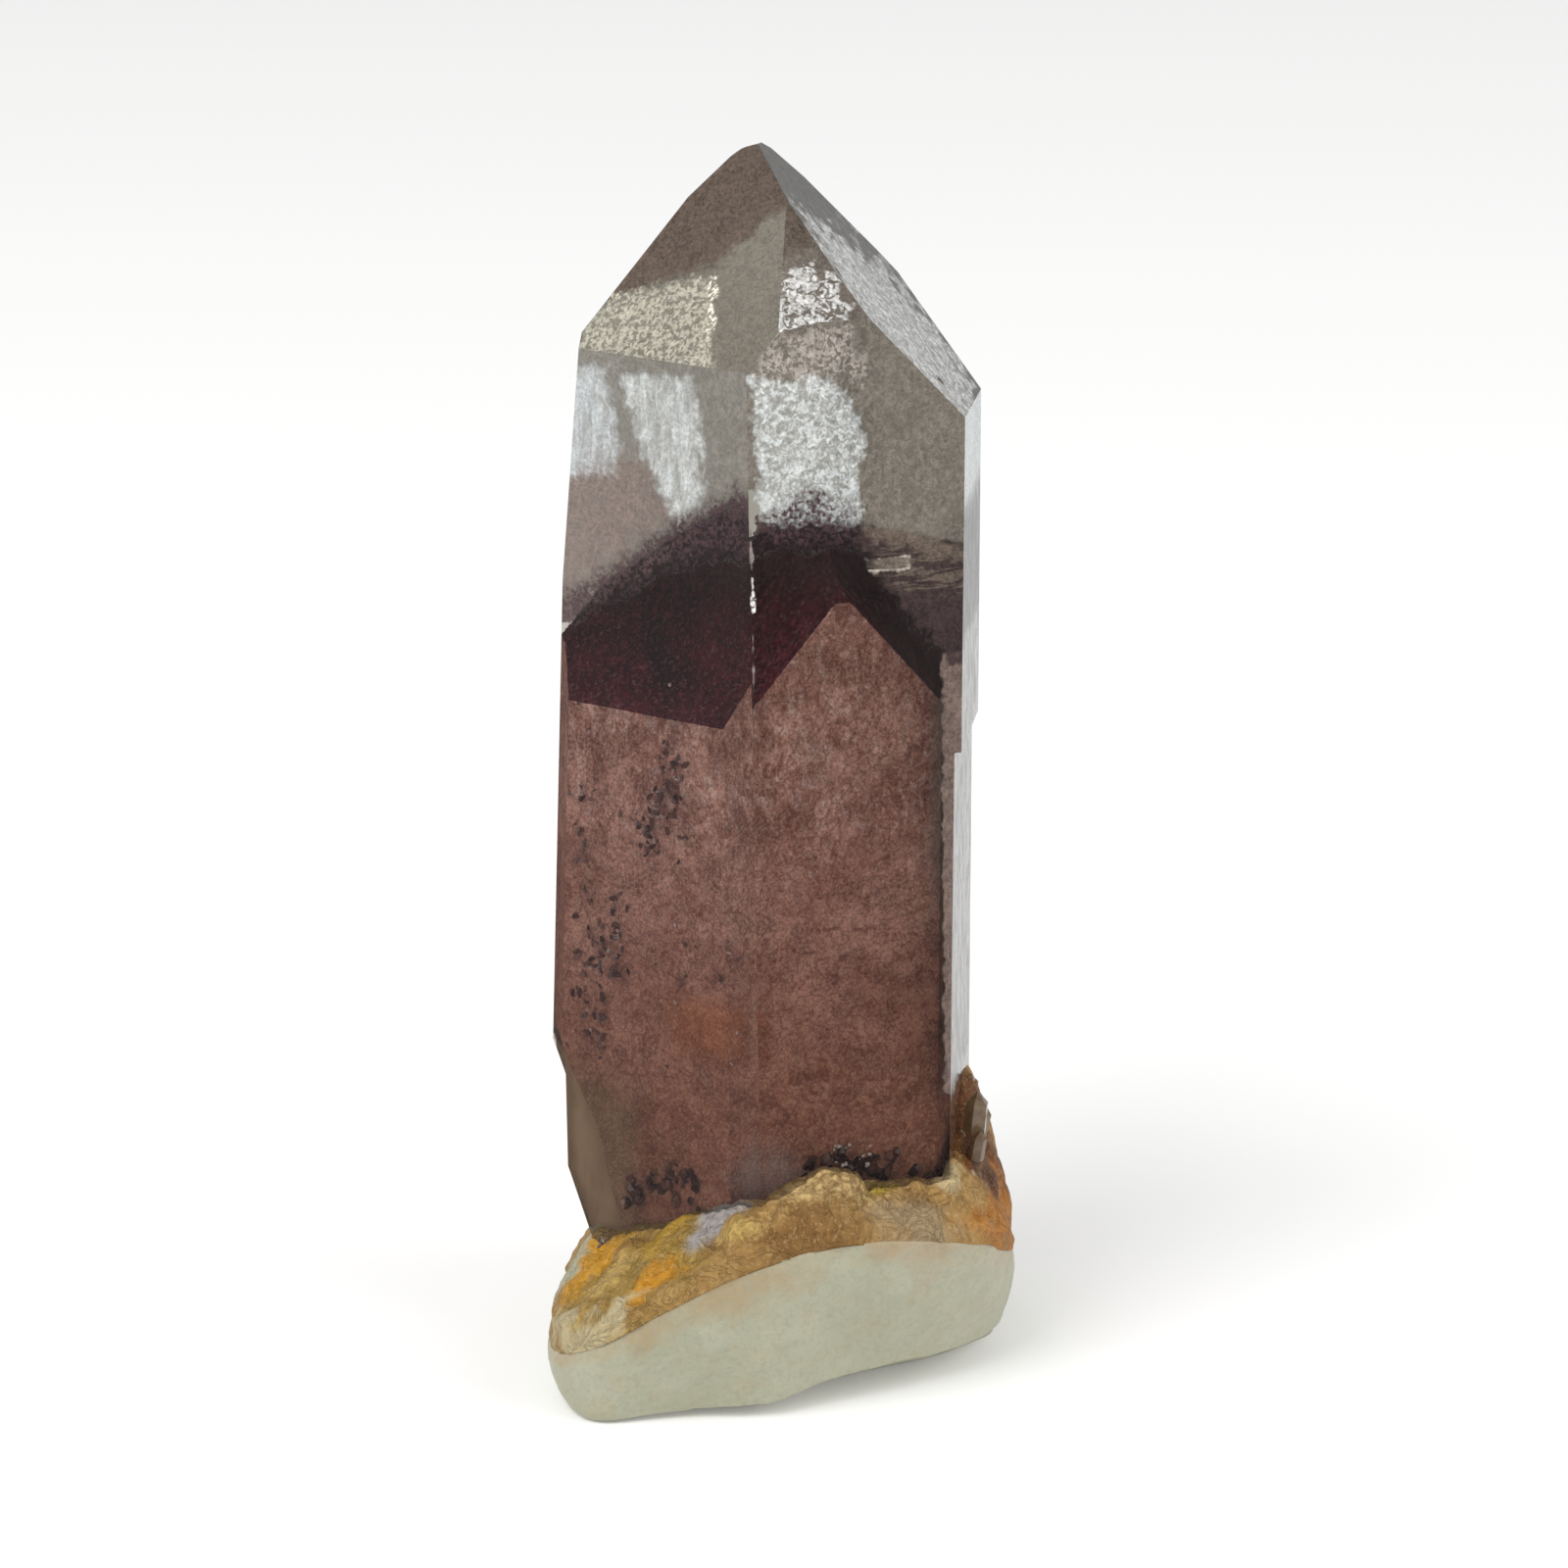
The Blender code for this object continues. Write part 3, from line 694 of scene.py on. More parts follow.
def patch_mask(n, level_spot, on_face, border, corners, wobble, fade):
    """1 inside a convex patch of one face and 0 outside.

    Each edge gives a distance in x and z that is positive outside; the mask falls
    from 1 to 0 as the greatest of them, moved by the wobble, passes through 0. A
    patch with a narrow fade is moved less. An edge that leaves the face's whole
    border well inside adds no nodes. The level spot is x, 1 and z.
    """
    if not corners:
        return on_face
    outline = np.array(corners)
    centre = outline.mean(axis=0)
    moved = min(1.0, 5.0 * fade)
    needed = -0.5 - fade - 0.6 * moved
    farthest = None
    for start, end in zip(outline, np.roll(outline, -1, axis=0)):
        across = np.array([end[1] - start[1], start[0] - end[0]])
        across /= np.linalg.norm(across)
        if across @ (centre - start) > 0.0:
            across = -across
        if np.max(border @ across) - across @ start < needed:
            continue
        reach = n.dot(level_spot, (across[0], -across @ start, across[1]))
        farthest = reach if farthest is None else n.math("MAXIMUM", farthest, reach)
    return n.ramp(farthest + wobble * moved, -fade, fade, 1.0, 0.0) * on_face


def face_borders():
    """Corners in x and z of each face of the clear point."""
    corners = clear_point_shape()[0]
    return [corners[np.abs(corners @ plane[:3] - plane[3]) < 0.01][:, ::2] for plane in habit_planes()]


def quartz_material(values):
    """Clear quartz: transmission, absorption, growth lines as bump, and clouded patches, some of them painted
    reflections and painted highlights.

    The patches' tints are laid on one another by their masks, from black. The sum is
    divided by the share that is painted, so that a patch keeps its tint at its edge.
    """
    n = Nodes("clear_quartz")
    spot = n.place()
    lines = n.noise(spot, 0.8, detail=2.0, stretch=(0.10, 0.10, 1.6))
    hills = n.noise(spot, 1.6, detail=2.0)
    wobble = (n.noise(spot, 0.9, detail=2.0, rough=0.65) - 0.5) * 1.8
    textures = {
        "specks": n.noise(spot, 0.25, detail=2.0, twist=0.6),
        "dapples": n.noise(spot, 0.38, detail=2.0, twist=1.0),
        "clouds": n.noise(spot, 0.75, detail=3.0, rough=0.65, twist=0.9, stretch=(1.0, 1.0, 0.8)),
        "upright": n.noise(spot, 0.6, detail=2.0, rough=0.6, twist=0.9, stretch=(1.0, 1.0, 0.28)),
        "level": n.noise(spot, 2.3, detail=2.0, rough=0.6, twist=0.5, stretch=(1.0, 1.0, 8.0)),
    }
    level_spot = n.vector("ADD", n.vector("MULTIPLY", spot, (1.0, 0.0, 1.0)), (0.0, 1.0, 0.0))
    crystal_face = n.attribute("crystal_face")
    borders = face_borders()
    on_faces = {}
    for face in sorted({row[0] for row in PATCHES}):
        on_faces[face] = n.math("LESS_THAN", abs(crystal_face - face), 0.5)
    colour = (0.0, 0.0, 0.0)
    clear = 1.0
    cloud = 0.0
    for face, corners, tint, clouding, texture, breaks, soft, fade in PATCHES:
        mask = patch_mask(n, level_spot, on_faces[face], borders[face], corners, wobble, fade)
        mask = mask * n.ramp(textures[texture], 0.49 - soft, 0.49 + soft, 1.0 - breaks, 1.0)
        colour = n.mix(mask, colour, tint)
        clear = clear * (1.0 - mask)
        cloud = n.math("MAXIMUM", cloud, mask * clouding)
    specks = n.ramp(n.noise(spot, 0.15, detail=2.0, rough=0.8), 0.38, 0.60, 0.50, 0.0)
    specks = specks + n.ramp(textures["specks"], 0.38, 0.60, 0.22, -0.08)
    specks = specks + n.ramp(textures["clouds"], 0.38, 0.60, 0.12, -0.12)
    painted = 1.0 - clear
    tone = (1.12 - specks * cloud) / n.math("MAXIMUM", painted, 0.02)
    n.shade(
        Base_Color=n.mix(n.ramp(painted, 0.02, 0.06), values.quartz_colour, n.scale(colour, tone)),
        Roughness=0.03 + cloud * 0.3,
        Transmission_Weight=1.0 - cloud,
        IOR=QUARTZ_IOR,
        Specular_Tint=(0.2, 0.2, 0.2, 1.0),
        Normal=n.bump(lines * 0.6 + hills * 0.5, 0.10, 0.35),
    )
    smoke = {"Color": full(values.smoke_colour), "Density": values.smoke_density}
    n.put(n.output.inputs["Volume"], n.add("ShaderNodeVolumeAbsorption", smoke))
    return n.material


def phantom_material(values):
    """Cloudy dusted quartz: dark red end faces that thin out upward, pinkish brown veined sides."""
    n = Nodes("hematite_phantom")
    spot = n.place()
    across, height = n.part(spot, "X"), n.part(spot, "Z")
    broad = n.noise(spot, 4.5, detail=3.0, rough=0.6)
    upright = n.noise(spot, 0.85, detail=4.0, rough=0.7, twist=1.4, stretch=(1.0, 1.0, 0.6))
    level = n.noise(spot, 0.80, detail=4.0, rough=0.7, twist=1.2, stretch=(0.55, 0.55, 1.0))
    fine = n.noise(spot, 0.22, detail=2.0, rough=0.75)
    creased = n.creases(spot, 1.1, detail=4.0, rough=0.7)
    upper = n.ramp(height, 22.0, 32.0)
    strokes = upright * upper + level * (1.0 - upper)

    # Sides: veils, strokes, creases and grain
    side = n.mix(n.ramp(broad, 0.40, 0.60), values.side_colour, values.side_light_colour)
    side = n.mix(n.ramp(height, 10.0, 30.0, 1.0, 0.0), side, values.side_low_colour)
    light = n.mix(upper, (0.44, 0.25, 0.19), (0.62, 0.42, 0.37))
    side = n.mix(n.ramp(strokes, 0.50, 0.64, 0.0, 0.7) * (0.45 + upper * 0.55), side, light)
    side = n.mix(n.ramp(strokes, 0.36, 0.47, 0.6, 0.0), side, (0.15, 0.055, 0.042))
    side = n.mix(n.ramp(creased, 0.0, 0.05, 0.5, 0.0), side, (0.12, 0.038, 0.030))
    side = n.mix(n.ramp(fine, 0.36, 0.50, 0.35, 0.0), side, (0.15, 0.06, 0.045))
    side = n.mix(n.ramp(fine, 0.54, 0.68, 0.0, 0.35), side, light)

    # Sides: gray mist over the crust, dark corner with an olive edge, warm spot, pale right margin
    mist = abs(across + 0.8) + abs(height - 12.2) + upright * 2.0
    side = n.mix(n.ramp(mist, 1.6, 3.8, 0.5, 0.0), side, (0.32, 0.250, 0.240))
    corner = n.ramp(across, -4.0, -9.0) * n.ramp(height, 18.0, 12.0)
    side = n.mix(corner * 0.6, side, (0.10, 0.035, 0.022))
    olive = n.ramp(across + (upright - 0.5) * 1.6, -6.4, -8.2) * n.ramp(height, 17.5, 13.5)
    side = n.mix(olive * 0.8, side, (0.235, 0.145, 0.088))
    warm = n.ramp(abs(across + 3.4), 1.0, 3.2, 1.0, 0.0) * n.ramp(abs(height - 19.7), 0.6, 2.4, 1.0, 0.0)
    side = n.mix(warm * 0.45, side, (0.36, 0.11, 0.035))
    margin = n.ramp(across + upright * 0.8, 7.0, 8.0) * n.ramp(height, 22.0, 29.0)
    side = n.mix(margin * 0.75, side, (0.24, 0.185, 0.165))

    # End faces: veils, strokes, creases, the darkest spot, dust at the top and on the right
    end = n.mix(n.ramp(broad, 0.42, 0.58), values.end_colour, (0.060, 0.004, 0.012))
    end = n.mix(n.ramp(upright, 0.48, 0.66, 0.0, 0.7), end, (0.18, 0.035, 0.050))
    end = n.mix(n.ramp(creased, 0.0, 0.04, 0.7, 0.0), end, (0.020, 0.002, 0.008))
    blob = abs(across + 5.4) + abs(height - 38.0) * 0.45 + (upright - 0.5) * 2.5
    end = n.mix(n.ramp(blob, 0.4, 1.7, 0.85, 0.0), end, (0.018, 0.002, 0.008))
    end = n.mix(n.ramp(height, 40.8, 43.2, 0.0, 0.7), end, (0.13, 0.060, 0.072))
    end = n.mix(n.ramp(across, 3.6, 5.6, 0.0, 0.55), end, (0.14, 0.085, 0.085))
    end = n.mix(n.ramp(fine, 0.52, 0.66, 0.0, 0.45), end, (0.22, 0.11, 0.12))

    grain = n.noise(spot, 0.13, detail=2.0, rough=0.8)
    blotch = n.noise(spot, 1.5, detail=3.0, rough=0.6)
    tone = n.ramp(grain, 0.36, 0.64, 0.72, 1.28) + n.ramp(blotch, 0.36, 0.64, -0.14, 0.14)
    tone = tone + n.ramp(across, -2.2, 0.5, 0.0, 0.12)
    dust = n.noise(spot, 0.55, detail=2.0, rough=0.7) - n.ramp(height, 41.5, 46.3, 0.16, 0.58)
    n.shade(
        Base_Color=n.scale(n.mix(n.attribute("end_face"), side, end), tone),
        Roughness=0.85,
        Specular_IOR_Level=0.05,
        Alpha=n.ramp(dust, -0.05, 0.04),
        Normal=n.bump(broad + fine * 0.4, 0.15, 0.6),
    )
    return n.material


def foot_material():
    """Olive brown cloud in the root: it thins out towards its top."""
    n = Nodes("root_cloud")
    spot = n.place()
    cloud = n.noise(spot, 1.4, detail=4.0, rough=0.6, stretch=(1.0, 1.0, 0.4))
    colour = n.mix(n.ramp(cloud, 0.35, 0.65), (0.235, 0.145, 0.085), (0.310, 0.205, 0.125))
    frayed = n.noise(spot, 0.5, detail=4.0, rough=0.7) * 0.35
    thin = n.ramp(n.part(spot, "Z"), 15.0, 18.4, 1.2, 0.25) - frayed
    n.shade(Base_Color=colour, Roughness=0.6, Alpha=n.ramp(thin, 0.1, 0.75), Specular_IOR_Level=0.2)
    return n.material


def flake_material(name, dark, light):
    """Hematite flakes or pale chips, each shaded by its own number."""
    n = Nodes(name)
    n.shade(Base_Color=n.mix(n.attribute("shade"), dark, light), Roughness=0.35)
    return n.material


def crust_material():
    """Iron crust: the piece's own colour, broken up by soft clouds, creases and grains."""
    n = Nodes("iron_crust")
    spot = n.place()
    base = n.attribute("stain", out="Color")
    grainy = n.attribute("grainy")
    grain = n.cells(spot, 0.42)
    cloud = n.noise(spot, 1.1, detail=4.0, rough=0.65, twist=0.8)
    fine = n.noise(spot, 0.22, detail=2.0, rough=0.7)
    creased = n.creases(spot, 1.5, detail=3.0, rough=0.65, twist=1.0)
    rough = 0.35 + grainy * 0.65
    deep = n.mix(0.6, base, (0.085, 0.040, 0.010))
    colour = n.mix(n.ramp(cloud, 0.36, 0.50, 0.85, 0.0) * rough, base, deep)
    colour = n.mix(n.ramp(cloud, 0.52, 0.66, 0.0, 0.4) * rough, colour, (0.56, 0.40, 0.17))
    colour = n.mix(n.ramp(creased, 0.0, 0.03, 0.8, 0.0) * rough, colour, deep)
    colour = n.mix(n.ramp(grain, 0.38, 0.62) * (grainy * 0.5), colour, (0.13, 0.065, 0.018))
    colour = n.mix(n.ramp(fine, 0.36, 0.50, 0.5, 0.0) * rough, colour, (0.14, 0.07, 0.024))
    colour = n.mix(n.ramp(fine, 0.55, 0.66, 0.0, 0.20), colour, (0.62, 0.50, 0.28))
    ridge = n.ramp(creased, 0.0, 0.06, 0.0, 0.8)
    height = ridge + (grain * (-0.1 + grainy * -0.9) + fine * 0.5)
    n.shade(Base_Color=colour, Roughness=0.62, Specular_IOR_Level=0.3, Normal=n.bump(height, 0.12, 0.8))
    return n.material


def rock_material(values):
    """Smooth greenish white stone: the piece's own colour with pale clouds and fine dirt."""
    n = Nodes("white_rock")
    spot = n.place()
    cloud = n.noise(spot, 3.0, detail=4.0, rough=0.6)
    dirt = n.noise(spot, 1.3, detail=4.0, rough=0.65)
    veins = n.noise(spot, 0.7, detail=4.0, rough=0.7, twist=1.0)
    fine = n.noise(spot, 0.3, detail=3.0, rough=0.7)
    base = n.attribute("stain", out="Color")
    colour = n.mix(n.ramp(cloud, 0.38, 0.62, 0.0, 0.5), base, values.rock_light_colour)
    colour = n.mix(n.ramp(dirt, 0.48, 0.64, 0.0, 0.40), colour, (0.37, 0.33, 0.21))
    colour = n.mix(n.ramp(veins, 0.38, 0.48, 0.35, 0.0), colour, (0.30, 0.31, 0.24))
    colour = n.mix(n.ramp(fine, 0.36, 0.52, 0.28, 0.0), colour, (0.25, 0.24, 0.16))
    n.shade(
        Base_Color=colour,
        Roughness=0.42,
        Subsurface_Weight=0.12,
        Subsurface_Radius=(1.0, 1.0, 0.7),
        Subsurface_Scale=0.0006,
        Normal=n.bump(cloud + fine * 0.25, 0.25, 0.5),
    )
    return n.material


def druse_material(name, dark, light, clear):
    """Small quartz points, partly clear and stained, each shaded by its own number."""
    n = Nodes(name)
    share = n.ramp(n.noise(n.place(), 0.8, detail=3.0), 0.35, 0.65) * n.attribute("shade")
    colour = n.mix(share, dark, light)
    n.shade(Base_Color=colour, Roughness=0.14, Transmission_Weight=clear, IOR=QUARTZ_IOR)
    return n.material


# Shapes


def tip_planes():
    """Planes that round the tip: level = normal . centre + radius."""
    rows = []
    for tilt, count, first in TIP_RINGS:
        turn = np.radians(first + np.arange(count) * 360.0 / count)
        tilt = math.radians(tilt)
        flat = math.sin(tilt)
        upward = np.full(count, math.cos(tilt))
        normals = np.stack([np.cos(turn) * flat, np.sin(turn) * flat, upward], axis=1)
        rows.append(np.column_stack([normals, normals @ np.array(TIP_CENTRE) + TIP_RADIUS]))
    return np.concatenate(rows)


def chip_solid(centre, radius, seed):
    """A splinter: the inside of twelve random planes around the centre."""
    random = np.random.default_rng(seed)
    normals = random.normal(size=(12, 3))
    normals /= np.linalg.norm(normals, axis=1)[:, None]
    levels = normals @ np.array(centre) + radius * random.uniform(0.6, 1.0, size=12)
    return convex_solid(np.column_stack([normals, levels]))


def clear_point_shape():
    """The solid inside the habit's faces, the bent upper left face and the worn tip's planes."""
    upper_left = prism_plane(LEFT_FACE, UPPER_LEFT_DISTANCE, UPPER_LEFT_TAPER)
    return convex_solid(np.concatenate([habit_planes(), [upper_left], tip_planes()]))


def growth_step():
    """What lies outside the drawn-in right face, below the step's top."""
    plane = prism_plane(STEP_FACE, PRISM_DISTANCE[STEP_FACE] - STEP_DEPTH)
    box = np.array([
        -plane,
        [0.0, 0.0, 1.0, STEP_TOP],
        [0.0, 0.0, -1.0, 0.0],
        [1.0, 0.0, 0.0, 30.0],
        [0.0, 1.0, 0.0, 30.0],
        [0.0, -1.0, 0.0, 30.0],
    ])
    return convex_solid(box)


def root_cloud_shape():
    """The cloud in the left foot: the outer planes drawn in, with an end on the right and on top."""
    planes = habit_planes(CLOUD_DEPTH)[[*range(6), -1]]
    ends = [[1.0, 0.0, 0.0, CLOUD_RIGHT_END], [0.0, 0.0, 1.0, CLOUD_TOP]]
    return convex_solid(np.concatenate([planes, ends]))


def ring_quartz_radius(ring):
    """How far the prism faces lie from the axis in each point's direction."""
    heading = ring[:, :2] / np.hypot(ring[:, 0], ring[:, 1])[:, None]
    distances = (*PRISM_DISTANCE[:-1], PRISM_DISTANCE[-1] - FOOT_RECESS)
    radii = []
    for index, distance in enumerate(distances):
        plane = prism_plane(index, distance)
        level = plane[3] - plane[2] * SHELF_HEIGHT
        facing = heading @ plane[:2]
        radii.append(np.where(facing > 0.1, level / np.maximum(facing, 0.1), np.inf))
    return np.min(radii, axis=0)


def toward_axis(ring, inset):
    """Moves a ring's points towards the axis by the inset."""
    radius = np.hypot(ring[:, 0], ring[:, 1])
    moved = ring.copy()
    moved[:, :2] *= ((radius - inset) / radius)[:, None]
    return moved


def raised(ring, lift):
    return ring + [0.0, 0.0, lift]


def brow_curve(around):
    """The rim's brow, and the heights at which the crust meets the quartz."""
    curve = closed_curve(RIM[:, :4], around)
    return curve[:, :3], curve[:, 3]


def shelf(outer, junction, shares, rise, climb):
    """Rings from an outer edge up to the quartz: height grows by 1 - (1 - share)^climb."""
    radius = np.hypot(outer[:, 0], outer[:, 1])
    narrowing = (ring_quartz_radius(outer) - UNDER_QUARTZ) / radius - 1.0
    rings = []
    for share in shares:
        ring = outer.copy()
        ring[:, :2] *= (1.0 + narrowing * share)[:, None]
        ring[:, 2] += (junction - outer[:, 2]) * rise * (1.0 - (1.0 - share) ** climb)
        rings.append(ring)
    return rings


def rock_shape():
    """Cut, rounded chin, side and brow as rings."""
    chin = closed_curve(RIM[:, 4:7], ROCK_AROUND)
    cut = closed_curve(np.column_stack([RIM[:, 7:], np.zeros(len(RIM))]), ROCK_AROUND)
    brow, junction = brow_curve(ROCK_AROUND)
    rings = [cut * share for share in ROCK_CUT_SHARES]
    rings += [cut * (1.0 - share) + chin * share for share in ROCK_CHIN_SHARES]
    for share in np.linspace(0.0, 1.0, ROCK_SIDE_RINGS):
        side = chin * (1.0 - share) + brow * share
        rings.append(toward_axis(side, -0.30 * math.sin(math.pi * share)))
    return rings + shelf(brow, junction, np.linspace(0.0, 1.0, ROCK_TOP_RINGS)[1:], ROCK_TOP_RISE, 1.0)


def crust_shape():
    """Under side on the rock, rounded lip, slope up to the quartz and the way down inside it, as rings."""
    brow, junction = brow_curve(CRUST_AROUND)
    bed = shelf(brow, junction, (1.0, 0.5, 0.0), ROCK_TOP_RISE, 1.0)
    under = [raised(ring, -0.05) for ring in bed]
    lip = [raised(toward_axis(brow, 0.02), 0.04), raised(toward_axis(brow, -0.05), 0.30)]
    edge = raised(toward_axis(brow, 0.20), 0.70)
    slope = shelf(edge, junction, np.linspace(0.0, 1.0, CRUST_STEPS), 1.0, 1.4)
    inner = [raised(slope[-1] * [0.90, 0.90, 1.0], -1.5), raised(slope[-1] * [0.88, 0.88, 0.0], 6.2)]
    return under + lip + slope + inner, len(under) + len(lip)


def junction_places(angles, outward):
    """Places where the crust meets the quartz at the angles, moved outward by the given amounts."""
    around = closed_curve(RIM[:, :4], 720)
    headings = degrees_round(around)
    order = np.argsort(headings)
    height = np.interp(angles % 360.0, headings[order], around[order, 3], period=360.0)
    turn = np.radians(angles)
    ring = np.stack([np.cos(turn), np.sin(turn), np.zeros(len(angles))], axis=1)
    reach = ring_quartz_radius(ring * 10.0) + outward
    places = ring * reach[:, None]
    places[:, 2] = height - 1.55 - 0.9 * outward
    return places


def turned(body, angles, axis):
    """Bodies, one for each angle, turned about the axis 0, 1 or 2 by the angle in radians."""
    first, second = ((1, 2), (2, 0), (0, 1))[axis]
    c, s = np.cos(angles)[:, None], np.sin(angles)[:, None]
    moved = body.copy()
    moved[..., first] = body[..., first] * c - body[..., second] * s
    moved[..., second] = body[..., first] * s + body[..., second] * c
    return moved


def point_crystals(places, radii, lengths, angles, leans, random, root=0.6, slim=1.0):
    """Six-sided prisms with pyramid tips: one unit crystal scaled, leaned, turned and moved to each place."""
    corner = np.arange(6) * math.pi / 3.0
    hexagon = np.stack([np.cos(corner), np.sin(corner)], axis=1)
    count = len(places)
    irregular = random.uniform(0.6, 1.3, (count, 6))
    spins = random.uniform(0.0, math.pi, count)
    flat = hexagon[None] * [slim, 1.0] * irregular[:, :, None] * radii[:, None, None]
    low = np.concatenate([flat, np.full((count, 6, 1), -root)], axis=2)
    high = np.concatenate([flat * 0.94, np.repeat(lengths[:, None, None], 6, axis=1)], axis=2)
    tip = np.stack([np.zeros(count), np.zeros(count), lengths + radii * 1.05], axis=1)[:, None]
    body = np.concatenate([low, high, tip], axis=1)
    for axis_turn in ((spins, 2), (np.radians(leans), 1), (np.radians(angles), 2)):
        body = turned(body, *axis_turn)
    points = (body + places[:, None]).reshape(-1, 3)
    ring = np.arange(6)
    ahead = (ring + 1) % 6
    side = np.stack([ring, ahead, ahead + 6, ring + 6], axis=1)
    top = np.stack([ring + 6, ahead + 6, np.full(6, CRYSTAL_POINTS - 1)], axis=1)
    start = np.arange(count)[:, None, None] * CRYSTAL_POINTS
    faces = (side[None] + start).reshape(-1, 4).tolist()
    faces += (top[None] + start).reshape(-1, 3).tolist()
    faces += (ring[None, ::-1] + start).reshape(-1, 6).tolist()
    return points, faces


def crystal_piece(name, material, places, radii, lengths, turns, leans, random, shades=None, **shape):
    """A piece of small crystals at the places, each with its own number for its shade."""
    points, faces = point_crystals(places, radii, lengths, turns, leans, random, **shape)
    piece = new_piece(name, points, faces, material, smooth=False)
    shades = random.uniform(size=len(places)) if shades is None else shades
    point_attribute(piece, "shade", np.repeat(shades, CRYSTAL_POINTS))
    return piece


def on_plane(face, x, z, depth=0.0):
    """Points of a face, or so far in front of it, at the given x and z."""
    y = (face[3] + depth - face[0] * x - face[2] * z) / face[1]
    return np.stack([x, y, z], axis=1)


def plane_heading(face):
    return math.degrees(math.atan2(face[1], face[0]))


def flake_pieces(face):
    """Thin six-sided plates just in front of the phantom's face, in clusters of normal spread."""
    random = np.random.default_rng(5)
    groups = {"hematite_flakes": [], "pale_flakes": []}
    for x, z, wide, tall, count, pale in FLAKE_CLUSTERS:
        across = random.normal(x, wide, count)
        along = random.normal(z, tall, count)
        pale_ones = random.uniform(size=count) < pale
        places = on_plane(face, across, along, random.uniform(0.06, 0.55, count))
        groups["pale_flakes"].append(places[pale_ones])
        groups["hematite_flakes"].append(places[~pale_ones])
    pieces = []
    for name, size, dark, light in FLAKE_LOOKS:
        places = np.concatenate(groups[name])
        count = len(places)
        radii = random.uniform(0.07, 0.30, count) * size
        turns = plane_heading(face) + random.normal(0.0, 35.0, count)
        leans = random.normal(90.0, 25.0, count)
        material = flake_material(name, dark, light)
        setting = (places, radii, radii * -0.8, turns, leans)
        pieces.append(crystal_piece(name, material, *setting, random, root=0.0, slim=0.45))
    return pieces


def root_crystal_rows(random, faces):
    """Places, sizes and directions of the dark crystals on the phantom's front faces above the crust."""
    rows = []
    for index, across, heights, count, room in ROOT_CRYSTALS:
        x = random.uniform(*across, count)
        z = random.uniform(*heights, count)
        radius = random.uniform(0.14, 0.36, count)
        length = np.minimum(radius * random.uniform(0.6, 2.2, count), room - radius)
        heading = plane_heading(faces[index]) + random.normal(0.0, 22.0, count)
        rows.append(np.column_stack([on_plane(faces[index], x, z), radius, length, heading]))
    return np.concatenate(rows)


def uniform_box(random, count, *ranges):
    """Random places in a box given by its ranges of x, y and z."""
    return np.column_stack([random.uniform(*limits, count) for limits in ranges])


# Add-on classes


COLOUR = {"subtype": "COLOR", "min": 0.0, "max": 1.0}


class SpecimenSettings(bpy.types.PropertyGroup):
    """Sizes and colours of the specimen."""

    quartz_colour: bpy.props.FloatVectorProperty(
        name="Quartz Colour", description="Tint of light that passes through the quartz surface",
        default=(0.95, 0.93, 0.90), **COLOUR,
    )
    smoke_colour: bpy.props.FloatVectorProperty(
        name="Smoke Colour", description="Colour that the inside of the quartz lets through",
        default=(0.860, 0.853, 0.837), **COLOUR,
    )
    smoke_density: bpy.props.FloatProperty(
        name="Smoke Density", description="Strength of the smoky tint, for each metre of quartz",
        default=400.0, min=0.0,
    )
    edge_wear: bpy.props.FloatProperty(
        name="Edge Wear", description="Width of the rounding on the crystal's edges",
        default=0.0001, unit="LENGTH", subtype="DISTANCE",
    )
    side_colour: bpy.props.FloatVectorProperty(
        name="Phantom Side", description="Pinkish brown of the phantom's sides",
        default=(0.36, 0.170, 0.135), **COLOUR,
    )
    side_light_colour: bpy.props.FloatVectorProperty(
        name="Phantom Side Light", description="Lighter veils on the phantom's sides",
        default=(0.50, 0.265, 0.215), **COLOUR,
    )
    side_low_colour: bpy.props.FloatVectorProperty(
        name="Phantom Side Low", description="Browner colour of the phantom's sides near the root",
        default=(0.32, 0.130, 0.080), **COLOUR,
    )
    end_colour: bpy.props.FloatVectorProperty(
        name="Phantom End", description="Dark red of the phantom's end faces",
        default=(0.095, 0.012, 0.018), **COLOUR,
    )
    crust_colour: bpy.props.FloatVectorProperty(
        name="Crust Ochre", description="Ochre of the crust",
        default=(0.33, 0.19, 0.055), **COLOUR,
    )
    rock_colour: bpy.props.FloatVectorProperty(
        name="Rock", description="Greenish white of the rock",
        default=(0.345, 0.345, 0.246), **COLOUR,
    )
    rock_light_colour: bpy.props.FloatVectorProperty(
        name="Rock Light", description="Lightest parts of the rock",
        default=(0.410, 0.410, 0.308), **COLOUR,
    )


class PieceOperator:
    """What the operators share."""

    bl_options = {"REGISTER", "UNDO"}


class QUARTZ_OT_clear_point(PieceOperator, bpy.types.Operator):
    """Make the clear outer crystal"""

    bl_idname = "quartz.clear_point"
    bl_label = "Clear Point"

    def execute(self, context):
        values = context.scene.specimen
        piece = new_piece("clear_point", *clear_point_shape(), quartz_material(values), smooth=False)
        outward_mesh(piece)
        chips = [chip_solid(*chip, CHIP_SEED + index) for index, chip in enumerate(CHIPS)]
        cut_away(piece, [swept_profile(FOOT_PROFILE), growth_step(), *chips])
        bevelled(piece, values.edge_wear)
        facing = face_normals(piece) @ habit_planes()[:, :3].T
        face_attribute(piece, "crystal_face", np.argmax(facing, axis=1))
        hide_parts("quartz_crystal")
        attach(piece, "root")
        return {"FINISHED"}


